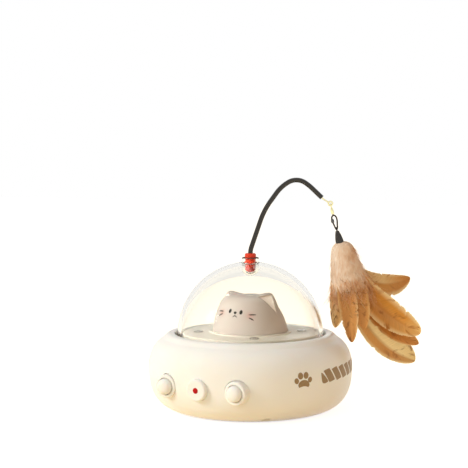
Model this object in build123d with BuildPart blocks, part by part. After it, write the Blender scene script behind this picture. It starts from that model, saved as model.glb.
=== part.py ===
"""Automatic cat laser toy: a flat-based bun housing with a clear turning dome, a cat head
under it, a feather wand in the dome's socket and a sweeping laser behind the front disc.

Frame: origin on the rest plane at the housing's axis, +Z up, the cat faces -Y. Millimetres.
"""

import os
from math import acos, cos, degrees, pi, radians, sin, tan

from build123d import *

os.makedirs("parts", exist_ok=True)

# ---- driving dimensions: housing ----
body_radius = 55.0  # widest girth of the bun
waist_z = 22.5  # height of the girth
base_radius = 41.8  # flat ring the bun ends in underneath
rim_z = 0.6  # underside of housing and cover, above the rubber feet's soles
wall = 2.2  # moulded wall
shoulder_width = 7.4  # from the girth in to the crease
crease_z = 38.1  # valley outside the dome collar
collar_width = 4.2  # from the crease in to the collar's crest
collar_rise = 2.7  # from the crease up to the collar's top
collar_flat = 2.7  # from the crest in to the slot
collar_thickness = 2.4
collar_edge = 0.8  # rounding of the slot's lip
base_lip = 3.4  # housing rim left round the bottom cover
ledge_thickness = 1.6  # ledge that the bottom cover seats against
ledge_width = 2.3
cover_thickness = 2.0
cover_clearance = 0.3
notch_radius = 2.7  # arched pry notch in the lower edge
notch_angle = 39.0

# ---- driving dimensions: dome and turntable ----
dome_gap = 1.1  # open slot between dome and collar
dome_wall = 2.0
dome_sink = 1.3  # centre of the hemisphere below the collar's top
skirt_length = 3.1  # straight skirt below the dome's centre
socket_outer_radius = 4.7
socket_wall = 1.25
socket_rise = 1.9  # rim above the crown
socket_depth = 8.4
lug_width = 8.0
lug_reach = 1.6
lug_height = 1.0
lug_count = 4
ring_rim = 1.2  # ring left outside the bayonet lugs
ring_gear_module = 1.25
ring_depth = 8.65  # from the ring's outside in to the teeth's pitch circle
pinion_teeth = 12
ring_height = 5.0
ring_lip_height = 1.6
gear_face = 4.0
running_gap = 0.1
guide_gap = 0.08  # running fit of the ring in its guide wall
seat_gap = 0.2

# ---- driving dimensions: chassis and deck ----
chassis_thickness = 2.0
track_inset = 5.0  # from the ring's outside in to the track
track_width = 2.2
track_height = 0.7
guide_thickness = 1.5
guide_height = 4.0
pillar_radius = 3.5
pillar_inset = 8.4  # from the cover's edge to the pillars and their screws
boss_radius = 2.8
boss_gap = 0.22  # between guide wall and housing bosses
boss_margin = 3.0  # chassis plate left outside the boss screws
deck_gap = 1.0  # between deck plate and dome
deck_thickness = 1.8
deck_rise = 0.4  # upper face of the deck above the collar
deck_edge = 0.5
deck_dimple_depth = 0.9
deck_post_radius = 3.3
deck_post_gap = 1.45  # between posts and the ring's teeth
deck_post_angle = 33.0
screw_radius = 1.3
screw_clearance = 0.05
screw_head_radius = 2.4
screw_head_height = 1.4
screw_slot_length = 2.6
screw_slot_width = 0.6
screw_slot_depth = 0.7

# ---- driving dimensions: cat head ----
head_radius = 20.4
head_height = 20.3
head_wall = 1.8
head_collar_width = 1.5
head_collar_height = 0.6
head_collar_gap = 0.2
head_boss_radius = 2.6
head_boss_inset = 4.2  # from the head's inner wall to its screws
ear_x = 14.0
ear_y = -1.6
ear_tip_rise = 1.5  # above the crown of the head

# ---- driving dimensions: front controls ----
control_z = 18.0  # height of laser disc and buttons
button_angle = 21.9
land_setback = 4.0  # flat seats moulded inside the wall, in from the girth
land_depth = 1.9
disc_radius = 5.65
disc_proud = 2.0
disc_edge = 1.1
disc_bore_radius = 4.5
disc_front_wall = 1.6
flange_overlap = 1.1
flange_thickness = 1.0
flange_margin = 0.2
window_radius = 1.5
window_gap = 0.05
window_setback = 0.3
button_radius = 4.75
button_flange = 0.9
button_proud = 1.3
button_crown = 1.2
button_hole_gap = 0.2
button_travel = 0.8
dish_radius = 6.4
dish_depth = 0.9
stem_radius = 1.9
switch_body = 6.0
switch_depth = 3.6
switch_setback = 2.4  # switch face behind the button flange at full travel
plunger_radius = 1.7
plunger_length = 1.0
plunger_root = 1.2
switch_board_width = 11.0
switch_board_thickness = 1.2
switch_board_tail = 5.4  # board left below the switch's middle

# ---- driving dimensions: laser sweep ----
cradle_setback = 8.5  # cradle pivot in from the girth
sweep_module = 0.8
sector_teeth = 35
sweep_pinion_teeth = 8
barrel_radius = 3.2
barrel_length = 14.0
barrel_setback = 1.0  # barrel's front in from the girth
barrel_cover = 0.6  # cradle plate above the barrel
cradle_plate_thickness = 1.8
cradle_half_width = 4.6
cradle_length = 5.6
cradle_hub_radius = 3.2
cradle_pin_radius = 1.1
clip_thickness = 0.5
clip_radius = 2.3
clip_mouth = 1.4
pin_groove = 0.3
sweep_motor_radius = 6.0
sweep_motor_height = 6.6
sweep_motor_top_gap = 0.4  # under the turning ring
sweep_shaft_radius = 0.75

# ---- driving dimensions: drive motor, power and electronics ----
gearbox_width = 12.0
gearbox_depth = 10.0
gearbox_height = 9.0
gearbox_screw_x = 4.4
gearbox_screw_radius = 0.78
motor_floor_gap = 2.0  # motor can above the bottom cover
drive_shaft_radius = 1.5
battery_radius = 7.0
battery_length = 50.0
battery_floor_gap = 0.6
battery_cap = 1.2
contact_width = 8.0
contact_thickness = 0.45
cradle_rib_thickness = 2.0
ballast_gap = 2.0  # between battery and ballast
ballast_inset = 2.8  # from the cover's edge to the ballast
ballast_height = 4.0
ballast_half_angle = 28.0
board_length = 50.0
board_width = 29.0
board_thickness = 1.6
board_gap = 3.0  # between cell and board
board_shift_y = 2.5
board_hole_inset = 3.5
foot_radius = 4.5
foot_inset = 7.4  # from the cover's edge to the feet
foot_recess = 0.8
usb_width = 8.9
usb_height = 3.2
usb_length = 7.3
usb_setback = 2.8  # socket's mouth in from the girth
usb_bulge_share = 0.72  # how far from rim to girth the wall stands at the charging board
usb_board_margin = 0.704  # board's end to the inside of the wall
usb_board_z = 9.0
usb_board_thickness = 1.2
usb_board_width = 11.0
usb_board_gap = 0.15  # between motor and charging board
usb_post_inset = 2.0
usb_post_spacing = 7.0
usb_post_radius = 1.7

# ---- driving dimensions: wand and lure ----
wand_angle = 29.0  # direction in plan that the wand bends to
tube_radius = 1.3
tube_inset = 16.6  # tip of the tube in from the girth
tube_rise = 39.3  # top of the bend above the plug
plug_radius = 2.8
plug_rib_radius = 3.4
plug_rise = 2.6  # plug's head above the socket's rim
plug_floor_gap = 0.3
tip_wire_radius = 0.4
eye_wire_extra = 0.04
wire_seat = 3.0
link_radius = 1.1  # centre-line radius of the small rings
link_gap = 0.1  # between the wires of two linked rings
mouth_reach = 9.9  # mouth of the lure's sleeve, out from the tube's tip
mouth_drop = 24.7
hang_tilt = 13.8  # the lure leans outwards on the shoulder
barrel_swivel_radius = 1.3
barrel_swivel_length = 3.8
swivel_wall = 0.7
stem_head_radius = 0.75
stem_head_height = 0.8
snap_straight = 4.4
snap_radius = 1.7
sleeve_length = 6.6
sleeve_mouth_radius = 2.1
sleeve_top_radius = 0.9
sleeve_bore_radius = 1.65
sleeve_bore_depth = 3.0
blade_thickness = 0.3
quill_radius = 0.13
down_thickness = 2.4
down_offset = 2.9
down_splay = 14.0

# ---- worked-out places: radii, from the girth inwards ----
crease_radius = body_radius - shoulder_width
collar_crest_radius = crease_radius - collar_width
slot_radius = collar_crest_radius - collar_flat
dome_radius = slot_radius - dome_gap
dome_inner_radius = dome_radius - dome_wall
deck_radius = dome_inner_radius - deck_gap
ring_outer_radius = dome_radius + lug_reach + ring_rim
track_inner_radius = ring_outer_radius - track_inset
guide_radius = ring_outer_radius + guide_gap
boss_circle = guide_radius + guide_thickness + boss_gap + boss_radius
chassis_radius = boss_circle + boss_margin
cover_radius = base_radius - base_lip
pillar_circle = cover_radius - pillar_inset
foot_circle = cover_radius - foot_inset
ballast_outer_radius = cover_radius - ballast_inset
ballast_inner_radius = battery_length / 2 + ballast_gap
land_radius = body_radius - land_setback
disc_front = body_radius + disc_proud
ring_teeth = round(2 * (ring_outer_radius - ring_depth) / ring_gear_module)
ring_pitch_radius = ring_teeth * ring_gear_module / 2
pinion_pitch_radius = pinion_teeth * ring_gear_module / 2
pinion_y = ring_pitch_radius - pinion_pitch_radius
tooth_tip_radius = ring_pitch_radius - 0.8 * ring_gear_module
tooth_root_radius = ring_pitch_radius + 1.15 * ring_gear_module
deck_post_circle = tooth_tip_radius - deck_post_gap - deck_post_radius

# ---- worked-out places: heights, from the crease downwards and from the cover upwards ----
collar_z = crease_z + collar_rise
ceiling_z = collar_z - collar_thickness
dome_centre_z = collar_z - dome_sink
skirt_z = dome_centre_z - skirt_length
ring_z = skirt_z - ring_height
track_top_z = ring_z - running_gap
chassis_top_z = track_top_z - track_height
chassis_z = chassis_top_z - chassis_thickness
pinion_z = ring_z + seat_gap
deck_z = collar_z + deck_rise
deck_under_z = deck_z - deck_thickness
cover_top_z = rim_z + cover_thickness
ledge_top_z = cover_top_z + ledge_thickness
battery_z = cover_top_z + battery_floor_gap + battery_radius
board_top_z = battery_z + battery_radius + board_gap + board_thickness
gearbox_z = chassis_z - gearbox_height
dome_top_z = dome_centre_z + dome_radius
socket_rim_z = dome_top_z + socket_rise
socket_bore_radius = socket_outer_radius - socket_wall
socket_floor_z = socket_rim_z - socket_depth
plug_top_z = socket_rim_z + plug_rise

# ---- worked-out places: laser sweep and charging board ----
cradle_pivot_y = cradle_setback - body_radius
cradle_reach = sector_teeth * sweep_module / 2
sweep_pinion_y = cradle_pivot_y + cradle_reach + sweep_pinion_teeth * sweep_module / 2
sweep_motor_z = ring_z - sweep_motor_top_gap - sweep_motor_height
barrel_front_y = barrel_setback - body_radius
cradle_plate_z = control_z + barrel_radius + barrel_cover
usb_wall_y = base_radius + usb_bulge_share * (body_radius - base_radius) - wall
usb_board_end_y = usb_wall_y - usb_board_margin
usb_board_start_y = pinion_y + gearbox_depth / 2 + usb_board_gap
usb_board_length = usb_board_end_y - usb_board_start_y
usb_axis_z = usb_board_z + usb_board_thickness + usb_height / 2

wand_plane = Plane(
    origin=(0, 0, 0),
    x_dir=(cos(radians(wand_angle)), sin(radians(wand_angle)), 0),
    z_dir=(sin(radians(wand_angle)), -cos(radians(wand_angle)), 0),
)


def save(piece, name):
    piece.part.label = name
    export_step(piece.part, f"parts/{name}.step")


def facing(angle, height=0.0):
    """Plane seen from outside: local z points away from the axis, local y up."""
    a = radians(angle)
    return Plane(origin=(0, 0, height), x_dir=(cos(a), sin(a), 0), z_dir=(sin(a), -cos(a), 0))


def section(angle, height=0.0):
    """Plane holding the radial line: local x points away from the axis, local y up."""
    a = radians(angle)
    return Plane(origin=(0, 0, height), x_dir=(sin(a), -cos(a), 0), z_dir=(-cos(a), -sin(a), 0))


def radial(angle, height):
    """Axis from the middle outwards through the front controls."""
    a = radians(angle)
    return Axis((0, 0, height), (sin(a), -cos(a), 0))


def turned(plane, about_x=0.0, about_z=0.0):
    """The plane turned in place about its own axes."""
    return Plane(plane * Rotation(about_x, 0, about_z))


def involute_angle(base, radius):
    pressure = acos(min(1.0, base / radius))
    return tan(pressure) - pressure


def gear_points(teeth, module, tip, root, shift, first_angle, centre, count=None):
    """Outline of a spur gear: involute flanks drawn through root, pitch and tip."""
    pitch = teeth * module / 2
    base = pitch * cos(radians(20))
    half_pitch_tooth = (pi * module / 2 + shift) / 2 / pitch + involute_angle(base, pitch)
    flank = [max(root, base), pitch, (pitch + tip) / 2, tip]
    half = [half_pitch_tooth - involute_angle(base, radius) for radius in flank]
    points = []
    for tooth in range(count or teeth):
        middle = radians(first_angle) + tooth * 2 * pi / teeth
        rising = [(root, -half[0])] + [(r, -h) for r, h in zip(flank, half)]
        falling = [(r, h) for r, h in zip(reversed(flank), reversed(half))] + [(root, half[0])]
        for radius, angle in rising + falling:
            point = (
                centre[0] + radius * cos(middle + angle),
                centre[1] + radius * sin(middle + angle),
            )
            if not points or abs(point[0] - points[-1][0]) + abs(point[1] - points[-1][1]) > 1e-4:
                points.append(point)
    return points


# ---- upper housing: the bun shell, with dome slot, control seats and bosses ----
def bun_curve(inset, start_radius, start_z, end_radius, end_z):
    """Two curves up the side of the bun, from the base ring over the girth to the shoulder."""
    girth = body_radius - inset
    flare = 0.864 * (girth - start_radius)
    side = waist_z - start_z
    rise = end_z - waist_z
    lower = Bezier(
        (start_radius, start_z),
        (start_radius + flare, start_z + 0.137 * side),
        (girth, waist_z - 0.397 * side),
        (girth, waist_z),
    )
    shoulder = Bezier(
        (girth, waist_z),
        (girth, waist_z + 0.61 * rise),
        (end_radius + 0.46 * (girth - end_radius), end_z - 0.12 * rise),
        (end_radius, end_z),
    )
    return lower, shoulder


inner_shoulder_radius = crease_radius - 0.9 * wall
inner_shoulder_z = crease_z - 0.8 * wall
inner_collar_radius = collar_crest_radius + 0.2
opening_radius = cover_radius + cover_clearance

with BuildPart() as upper_housing:
    with BuildSketch(Plane.XZ):
        with BuildLine():
            Line((opening_radius, rim_z), (base_radius, rim_z))
            bun_curve(0, base_radius, rim_z, crease_radius, crease_z)
            Bezier(
                (crease_radius, crease_z),
                (crease_radius - 0.9, crease_z + 0.35),
                (collar_crest_radius + 2.3, collar_z),
                (collar_crest_radius, collar_z),
            )
            Line((collar_crest_radius, collar_z), (slot_radius + collar_edge, collar_z))
            RadiusArc(
                (slot_radius + collar_edge, collar_z),
                (slot_radius, collar_z - collar_edge),
                -collar_edge,
            )
            Polyline(
                (slot_radius, collar_z - collar_edge),
                (slot_radius, ceiling_z),
                (inner_collar_radius, ceiling_z),
                (inner_shoulder_radius, inner_shoulder_z),
            )
            bun_curve(wall, base_radius - 0.8, ledge_top_z, inner_shoulder_radius, inner_shoulder_z)
            Polyline(
                (base_radius - 0.8, ledge_top_z),
                (opening_radius - ledge_width, ledge_top_z),
                (opening_radius - ledge_width, cover_top_z),
                (opening_radius, cover_top_z),
                (opening_radius, rim_z),
            )
        make_face()
    revolve(axis=Axis.Z)
    # flat seats behind the laser disc and the two buttons
    for angle in (-button_angle, 0, button_angle):
        with BuildSketch(facing(angle, control_z).offset(land_radius)):
            Circle(disc_radius + flange_overlap)
        extrude(amount=land_depth)
        with BuildSketch(facing(angle, control_z).offset(land_radius)):
            Circle(disc_radius + flange_overlap)
        extrude(amount=-wall, mode=Mode.SUBTRACT)
    # dished rings round the buttons, and the three openings
    for angle in (-button_angle, button_angle):
        with BuildSketch(facing(angle, control_z).offset(body_radius - dish_depth)):
            Circle(dish_radius)
        extrude(amount=2 * dish_depth, mode=Mode.SUBTRACT)
        with BuildSketch(facing(angle, control_z).offset(land_radius - wall)):
            Circle(button_radius + button_hole_gap)
        extrude(amount=4 * wall, mode=Mode.SUBTRACT)
    with BuildSketch(facing(0, control_z).offset(land_radius - wall)):
        Circle(disc_radius + screw_clearance)
    extrude(amount=4 * wall, mode=Mode.SUBTRACT)
    # charging port opening at the back
    with BuildSketch(facing(180, usb_axis_z).offset(body_radius - 3 * wall)):
        SlotOverall(usb_width + 2 * seat_gap, usb_height + 2 * seat_gap)
    extrude(amount=4 * wall, mode=Mode.SUBTRACT)
    # arched notch in the lower edge
    with BuildSketch(facing(notch_angle, rim_z).offset(base_radius + wall)):
        Circle(notch_radius)
    extrude(amount=body_radius - base_radius, mode=Mode.SUBTRACT)

with BuildPart() as housing_bosses:
    with BuildSketch(Plane.XY.offset(chassis_top_z)):
        with PolarLocations(boss_circle, 4, start_angle=45):
            Circle(boss_radius)
    extrude(amount=collar_z - chassis_top_z)
    with BuildSketch(Plane.XZ):
        with BuildLine():
            Polyline((base_radius, rim_z), (0, rim_z), (0, ceiling_z), (inner_collar_radius, ceiling_z))
            Line((inner_collar_radius, ceiling_z), (crease_radius - 0.45 * wall, crease_z - 0.4 * wall))
            bun_curve(
                0.5 * wall, base_radius, rim_z, crease_radius - 0.45 * wall, crease_z - 0.4 * wall
            )
        make_face()
    revolve(axis=Axis.Z, mode=Mode.INTERSECT)
    with BuildSketch(Plane.XY.offset(chassis_top_z)):
        with PolarLocations(boss_circle, 4, start_angle=45):
            Circle(screw_radius + screw_clearance)
    extrude(amount=4.0, mode=Mode.SUBTRACT)

with BuildPart() as whole_housing:
    add(upper_housing.part)
    add(housing_bosses.part)
save(whole_housing, "upper_housing")

# ---- bottom cover: disc with feet recesses, countersunk holes, battery cradle and posts ----
usb_post_y = usb_board_start_y + usb_post_inset

with BuildPart() as bottom_cover:
    with BuildSketch(Plane.XY.offset(rim_z)):
        Circle(cover_radius)
    extrude(amount=cover_thickness)
    with BuildSketch(Plane.XY.offset(cover_top_z)):
        with GridLocations(battery_length * 0.6, 0, 2, 1):
            Rectangle(cradle_rib_thickness, 2 * battery_radius + 4)
    extrude(amount=battery_radius)
    with BuildSketch(Plane.YZ.offset(-battery_length / 2 - 2)):
        with Locations((0, battery_z)):
            Circle(battery_radius + running_gap)
    extrude(amount=battery_length + 4, mode=Mode.SUBTRACT)
    with BuildSketch(Plane.XY.offset(cover_top_z)):
        with Locations((0, usb_post_y)):
            with GridLocations(usb_post_spacing, 0, 2, 1):
                Circle(usb_post_radius)
    extrude(amount=usb_board_z - cover_top_z)
    with BuildSketch(Plane.XY.offset(rim_z)):
        with PolarLocations(foot_circle, 4):
            Circle(foot_radius + screw_clearance)
    extrude(amount=foot_recess, mode=Mode.SUBTRACT)
    with BuildSketch(Plane.XY.offset(rim_z)):
        with PolarLocations(pillar_circle, 4, start_angle=45):
            Circle(screw_head_radius + running_gap)
    extrude(amount=screw_head_height, mode=Mode.SUBTRACT)
    with BuildSketch(Plane.XY.offset(rim_z)):
        with PolarLocations(pillar_circle, 4, start_angle=45):
            Circle(screw_radius + screw_clearance)
    extrude(amount=cover_thickness, mode=Mode.SUBTRACT)
save(bottom_cover, "bottom_cover")

with BuildPart() as rubber_feet:
    with BuildSketch(Plane.XY):
        with PolarLocations(foot_circle, 4):
            Circle(foot_radius)
    extrude(amount=rim_z + foot_recess)
save(rubber_feet, "rubber_feet")

with BuildPart() as ballast_weights:
    wedge = 2 * ballast_outer_radius * tan(radians(ballast_half_angle))
    for side in (-1, 1):
        far = side * 2 * ballast_outer_radius
        with BuildSketch(Plane.XY.offset(cover_top_z)):
            Circle(ballast_outer_radius)
            Circle(ballast_inner_radius, mode=Mode.SUBTRACT)
            with BuildLine():
                Polyline((0, 0), (far, wedge), (far, -wedge), close=True)
            make_face(mode=Mode.INTERSECT)
        extrude(amount=ballast_height)
save(ballast_weights, "ballast_weights")


# ---- screws: head and shank in one solid, head below or above the joint ----
def screws(places, joint_z, length, head_up):
    """Pan-head screws whose heads bear at joint_z; the shank runs away from the head."""
    way = 1 if head_up else -1
    with BuildPart() as group:
        with BuildSketch(Plane.XY.offset(joint_z)):
            with Locations(*places):
                Circle(screw_head_radius)
        extrude(amount=way * screw_head_height)
        with BuildSketch(Plane.XY.offset(joint_z)):
            with Locations(*places):
                Circle(screw_radius)
        extrude(amount=-way * length)
        slot_z = joint_z + way * (screw_head_height - screw_slot_depth)
        with BuildSketch(Plane.XY.offset(slot_z)):
            with Locations(*places):
                Rectangle(screw_slot_length, screw_slot_width)
                Rectangle(screw_slot_width, screw_slot_length)
        extrude(amount=way * screw_slot_depth, mode=Mode.SUBTRACT)
    return group


def ring_places(radius, count, first):
    angles = [radians(first + 360 / count * i) for i in range(count)]
    return [(radius * cos(a), radius * sin(a)) for a in angles]


pillar_places = ring_places(pillar_circle, 4, 45)
boss_places = ring_places(boss_circle, 4, 45)
deck_places = ring_places(deck_post_circle, 4, deck_post_angle)
head_screw_places = ring_places(head_radius - head_wall - head_boss_inset, 2, 90)
board_places = [
    (
        sx * (board_length / 2 - board_hole_inset),
        board_shift_y + sy * (board_width / 2 - board_hole_inset),
    )
    for sx in (-1, 1)
    for sy in (-1, 1)
]
gearbox_places = [(-gearbox_screw_x, pinion_y), (gearbox_screw_x, pinion_y)]

save(screws(pillar_places, rim_z + screw_head_height, 9.0, head_up=False), "cover_screws")
save(screws(boss_places, chassis_z, 5.5, head_up=False), "chassis_screws")

# ---- chassis: plate with pillars, track, guide wall, deck posts and motor openings ----
with BuildPart() as chassis:
    with BuildSketch(Plane.XY.offset(chassis_z)):
        Circle(chassis_radius)
    extrude(amount=chassis_thickness)
    with BuildSketch(Plane.XY.offset(chassis_top_z)):
        Circle(track_inner_radius + track_width)
        Circle(track_inner_radius, mode=Mode.SUBTRACT)
    extrude(amount=track_height)
    with BuildSketch(Plane.XY.offset(chassis_top_z)):
        Circle(guide_radius + guide_thickness)
        Circle(guide_radius, mode=Mode.SUBTRACT)
    extrude(amount=guide_height)
    with BuildSketch(Plane.XY.offset(cover_top_z)):
        with Locations(*pillar_places):
            Circle(pillar_radius)
    extrude(amount=chassis_z - cover_top_z)
    with BuildSketch(Plane.XY.offset(chassis_top_z)):
        with Locations(*deck_places):
            Circle(deck_post_radius)
    extrude(amount=deck_under_z - chassis_top_z)
    with BuildSketch(Plane.XY.offset(board_top_z)):
        with Locations(*board_places):
            Circle(screw_head_radius)
    extrude(amount=chassis_z - board_top_z)
    # threaded holes: pillars from below, deck posts from above, board posts from below
    with BuildSketch(Plane.XY.offset(cover_top_z)):
        with Locations(*pillar_places):
            Circle(screw_radius + screw_clearance)
    extrude(amount=9.5, mode=Mode.SUBTRACT)
    with BuildSketch(Plane.XY.offset(deck_under_z)):
        with Locations(*deck_places):
            Circle(screw_radius + screw_clearance)
    extrude(amount=-7.5, mode=Mode.SUBTRACT)
    with BuildSketch(Plane.XY.offset(board_top_z)):
        with Locations(*board_places):
            Circle(screw_radius + screw_clearance)
    extrude(amount=5.0, mode=Mode.SUBTRACT)
    # through holes: housing bosses, drive shaft, gearbox screws, cradle pin, sweep motor
    with BuildSketch(Plane.XY.offset(chassis_z)):
        with Locations(*boss_places):
            Circle(screw_radius + screw_clearance)
        with Locations((0, pinion_y)):
            Circle(drive_shaft_radius + 0.4)
        with Locations(*gearbox_places):
            Circle(gearbox_screw_radius + screw_clearance)
        with Locations((0, cradle_pivot_y)):
            Circle(cradle_pin_radius + 0.06)
        with Locations((0, sweep_pinion_y)):
            Circle(sweep_motor_radius + screw_clearance)
    extrude(amount=chassis_thickness, mode=Mode.SUBTRACT)
save(chassis, "chassis")

# ---- deck plate: floor of the dome with the collar that rings the cat head ----
with BuildPart() as deck_plate:
    with BuildSketch(Plane.XY.offset(deck_under_z)):
        Circle(deck_radius)
    extrude(amount=deck_thickness)
    fillet(deck_plate.edges().group_by(Axis.Z)[-1], radius=deck_edge)
    with BuildSketch(Plane.XY.offset(deck_z)):
        Circle(head_radius + head_collar_gap + head_collar_width)
        Circle(head_radius + head_collar_gap, mode=Mode.SUBTRACT)
    extrude(amount=head_collar_height)
    fillet(
        deck_plate.edges().group_by(Axis.Z)[-1].sort_by(SortBy.RADIUS)[-1],
        radius=head_collar_height * 0.7,
    )
    with BuildSketch(Plane.XY.offset(deck_z)):
        with Locations(*deck_places):
            Circle(screw_head_radius + 0.5)
    extrude(amount=-deck_dimple_depth, mode=Mode.SUBTRACT)
    with BuildSketch(Plane.XY.offset(deck_under_z)):
        with Locations(*deck_places, *head_screw_places):
            Circle(screw_radius + screw_clearance)
    extrude(amount=deck_thickness, mode=Mode.SUBTRACT)
save(deck_plate, "deck_plate")
save(screws(deck_places, deck_z - deck_dimple_depth, 7.0, head_up=True), "deck_screws")
save(screws(head_screw_places, deck_under_z, 6.5, head_up=False), "head_screws")

# ---- cat head: hollow bell with two ears and two screw bosses ----
head_top_z = deck_z + head_height


def bell(radius, floor_z, top_z):
    return Bezier(
        (radius, floor_z),
        (radius - 0.04 * radius, floor_z + 0.4 * (top_z - floor_z)),
        (radius - 0.2 * radius, top_z),
        (0, top_z),
    )


with BuildPart() as cat_head:
    with BuildSketch(Plane.XZ):
        with BuildLine():
            bell(head_radius, deck_z, head_top_z)
            Polyline((0, head_top_z), (0, deck_z), (head_radius, deck_z))
        make_face()
    revolve(axis=Axis.Z)
    for side in (-1, 1):
        with BuildSketch(Plane.XY.offset(head_top_z - 8)):
            with Locations((side * (ear_x - 1.6), ear_y + 0.6)):
                RectangleRounded(8.4, 7.4, 1.6)
        with BuildSketch(Plane.XY.offset(head_top_z - 1.8)):
            with Locations((side * (ear_x - 2.6), ear_y + 0.2)):
                RectangleRounded(6.6, 4.4, 1.0)
        with BuildSketch(Plane.XY.offset(head_top_z + ear_tip_rise)):
            with Locations((side * ear_x, ear_y)):
                RectangleRounded(1.5, 1.3, 0.4)
        loft(ruled=True)
    with BuildSketch(Plane.XZ):
        with BuildLine():
            bell(head_radius - head_wall, deck_z, head_top_z - head_wall)
            Polyline(
                (0, head_top_z - head_wall), (0, deck_z), (head_radius - head_wall, deck_z)
            )
        make_face()
    revolve(axis=Axis.Z, mode=Mode.SUBTRACT)
    with BuildSketch(Plane.XY.offset(deck_z)):
        with Locations(*head_screw_places):
            Circle(head_boss_radius)
    extrude(until=Until.NEXT)
    with BuildSketch(Plane.XY.offset(deck_z)):
        with Locations(*head_screw_places):
            Circle(screw_radius + screw_clearance)
    extrude(amount=6.0, mode=Mode.SUBTRACT)
save(cat_head, "cat_head")

# ---- dome: clear hemisphere with the moulded wand socket and bayonet lugs ----
socket_bend_z = socket_floor_z + socket_bore_radius * 0.9
outer_join = degrees(acos(socket_outer_radius / dome_radius))
inner_join = degrees(acos(socket_outer_radius / dome_inner_radius))

with BuildPart() as dome:
    with BuildSketch(Plane.XZ):
        with BuildLine():
            Line((dome_radius, skirt_z), (dome_radius, dome_centre_z))
            crown = CenterArc((0, dome_centre_z), dome_radius, 0, outer_join)
            rim_side = Line(crown @ 1, (socket_outer_radius, socket_rim_z))
            Line(rim_side @ 1, (socket_bore_radius, socket_rim_z))
            Line((socket_bore_radius, socket_rim_z), (socket_bore_radius, socket_bend_z))
            Bezier(
                (socket_bore_radius, socket_bend_z),
                (socket_bore_radius, socket_floor_z + 0.3 * socket_bore_radius),
                (0.55 * socket_bore_radius, socket_floor_z),
                (0, socket_floor_z),
            )
            Line((0, socket_floor_z), (0, socket_floor_z - socket_wall))
            Bezier(
                (0, socket_floor_z - socket_wall),
                (0.55 * socket_outer_radius, socket_floor_z - socket_wall),
                (socket_outer_radius, socket_floor_z - 0.1 * socket_outer_radius),
                (socket_outer_radius, socket_bend_z),
            )
            inner = CenterArc((0, dome_centre_z), dome_inner_radius, 0, inner_join)
            Line((socket_outer_radius, socket_bend_z), inner @ 1)
            Polyline(
                (dome_inner_radius, dome_centre_z),
                (dome_inner_radius, skirt_z),
                (dome_radius, skirt_z),
            )
        make_face()
    revolve(axis=Axis.Z)
    with BuildSketch(Plane.XY.offset(skirt_z)):
        with PolarLocations(dome_radius - 0.4 + lug_reach / 2, lug_count, start_angle=45):
            Rectangle(lug_reach + 0.8, lug_width)
    extrude(amount=lug_height)
    fillet(dome.edges().filter_by(GeomType.CIRCLE).group_by(Axis.Z)[-1], radius=0.4)
save(dome, "dome")

# ---- ring gear: turntable with internal teeth and a lip that holds the skirt ----
with BuildPart() as ring_gear:
    with BuildSketch(Plane.XY.offset(ring_z)):
        Circle(ring_outer_radius)
        with BuildLine():
            Polyline(
                *gear_points(
                    ring_teeth,
                    ring_gear_module,
                    tooth_root_radius,
                    tooth_tip_radius,
                    0.16,
                    90,
                    (0, 0),
                ),
                close=True,
            )
        make_face(mode=Mode.SUBTRACT)
    extrude(amount=gear_face)
    with BuildSketch(Plane.XY.offset(ring_z + gear_face)):
        Circle(ring_outer_radius)
        Circle(tooth_root_radius + 2 * seat_gap, mode=Mode.SUBTRACT)
    extrude(amount=skirt_z - ring_z - gear_face)
    with BuildSketch(Plane.XY.offset(skirt_z)):
        Circle(ring_outer_radius)
        Circle(dome_radius + seat_gap, mode=Mode.SUBTRACT)
    extrude(amount=ring_lip_height)
    with BuildSketch(Plane.XY.offset(skirt_z)):
        with PolarLocations(dome_radius + lug_reach / 2, lug_count, start_angle=45):
            Rectangle(lug_reach + 1.0, lug_width + 2 * seat_gap)
    extrude(amount=ring_lip_height, mode=Mode.SUBTRACT)
save(ring_gear, "ring_gear")

# ---- drive pinion on the gear motor's shaft ----
shaft_top_z = pinion_z + gear_face + 0.6
with BuildPart() as drive_pinion:
    with BuildSketch(Plane.XY.offset(pinion_z)):
        with BuildLine():
            Polyline(
                *gear_points(
                    pinion_teeth,
                    ring_gear_module,
                    pinion_pitch_radius + 0.8 * ring_gear_module,
                    pinion_pitch_radius - 1.1 * ring_gear_module,
                    -0.16,
                    90,
                    (0, pinion_y),
                ),
                close=True,
            )
        make_face()
        with Locations((0, pinion_y)):
            Circle(drive_shaft_radius + 0.02, mode=Mode.SUBTRACT)
    extrude(amount=gear_face - seat_gap)
save(drive_pinion, "drive_pinion")

with BuildPart() as drive_shaft:
    with BuildSketch(Plane.XY.offset(gearbox_z + gearbox_height - 3.0)):
        with Locations((0, pinion_y)):
            Circle(drive_shaft_radius)
    extrude(amount=shaft_top_z - gearbox_z - gearbox_height + 3.0)
save(drive_shaft, "drive_shaft")

with BuildPart() as drive_gearbox:
    with BuildSketch(Plane.XY.offset(gearbox_z)):
        with Locations((0, pinion_y)):
            Rectangle(gearbox_width, gearbox_depth)
    extrude(amount=gearbox_height)
    with BuildSketch(Plane.XY.offset(chassis_z - 3.0)):
        with Locations((0, pinion_y)):
            Circle(drive_shaft_radius + running_gap)
    extrude(amount=3.0, mode=Mode.SUBTRACT)
    with BuildSketch(Plane.XY.offset(chassis_z)):
        with Locations(*gearbox_places):
            Circle(gearbox_screw_radius + screw_clearance)
    extrude(amount=-2.5, mode=Mode.SUBTRACT)
    # open gear stage between the two brass plates
    with BuildSketch(Plane.XY.offset(gearbox_z + 1.0)):
        with Locations((0, pinion_y)):
            with GridLocations(gearbox_width, 0, 2, 1):
                Rectangle(3.0, gearbox_depth - 4.0)
    extrude(amount=gearbox_height - 4.5, mode=Mode.SUBTRACT)
save(drive_gearbox, "drive_gearbox")

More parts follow.
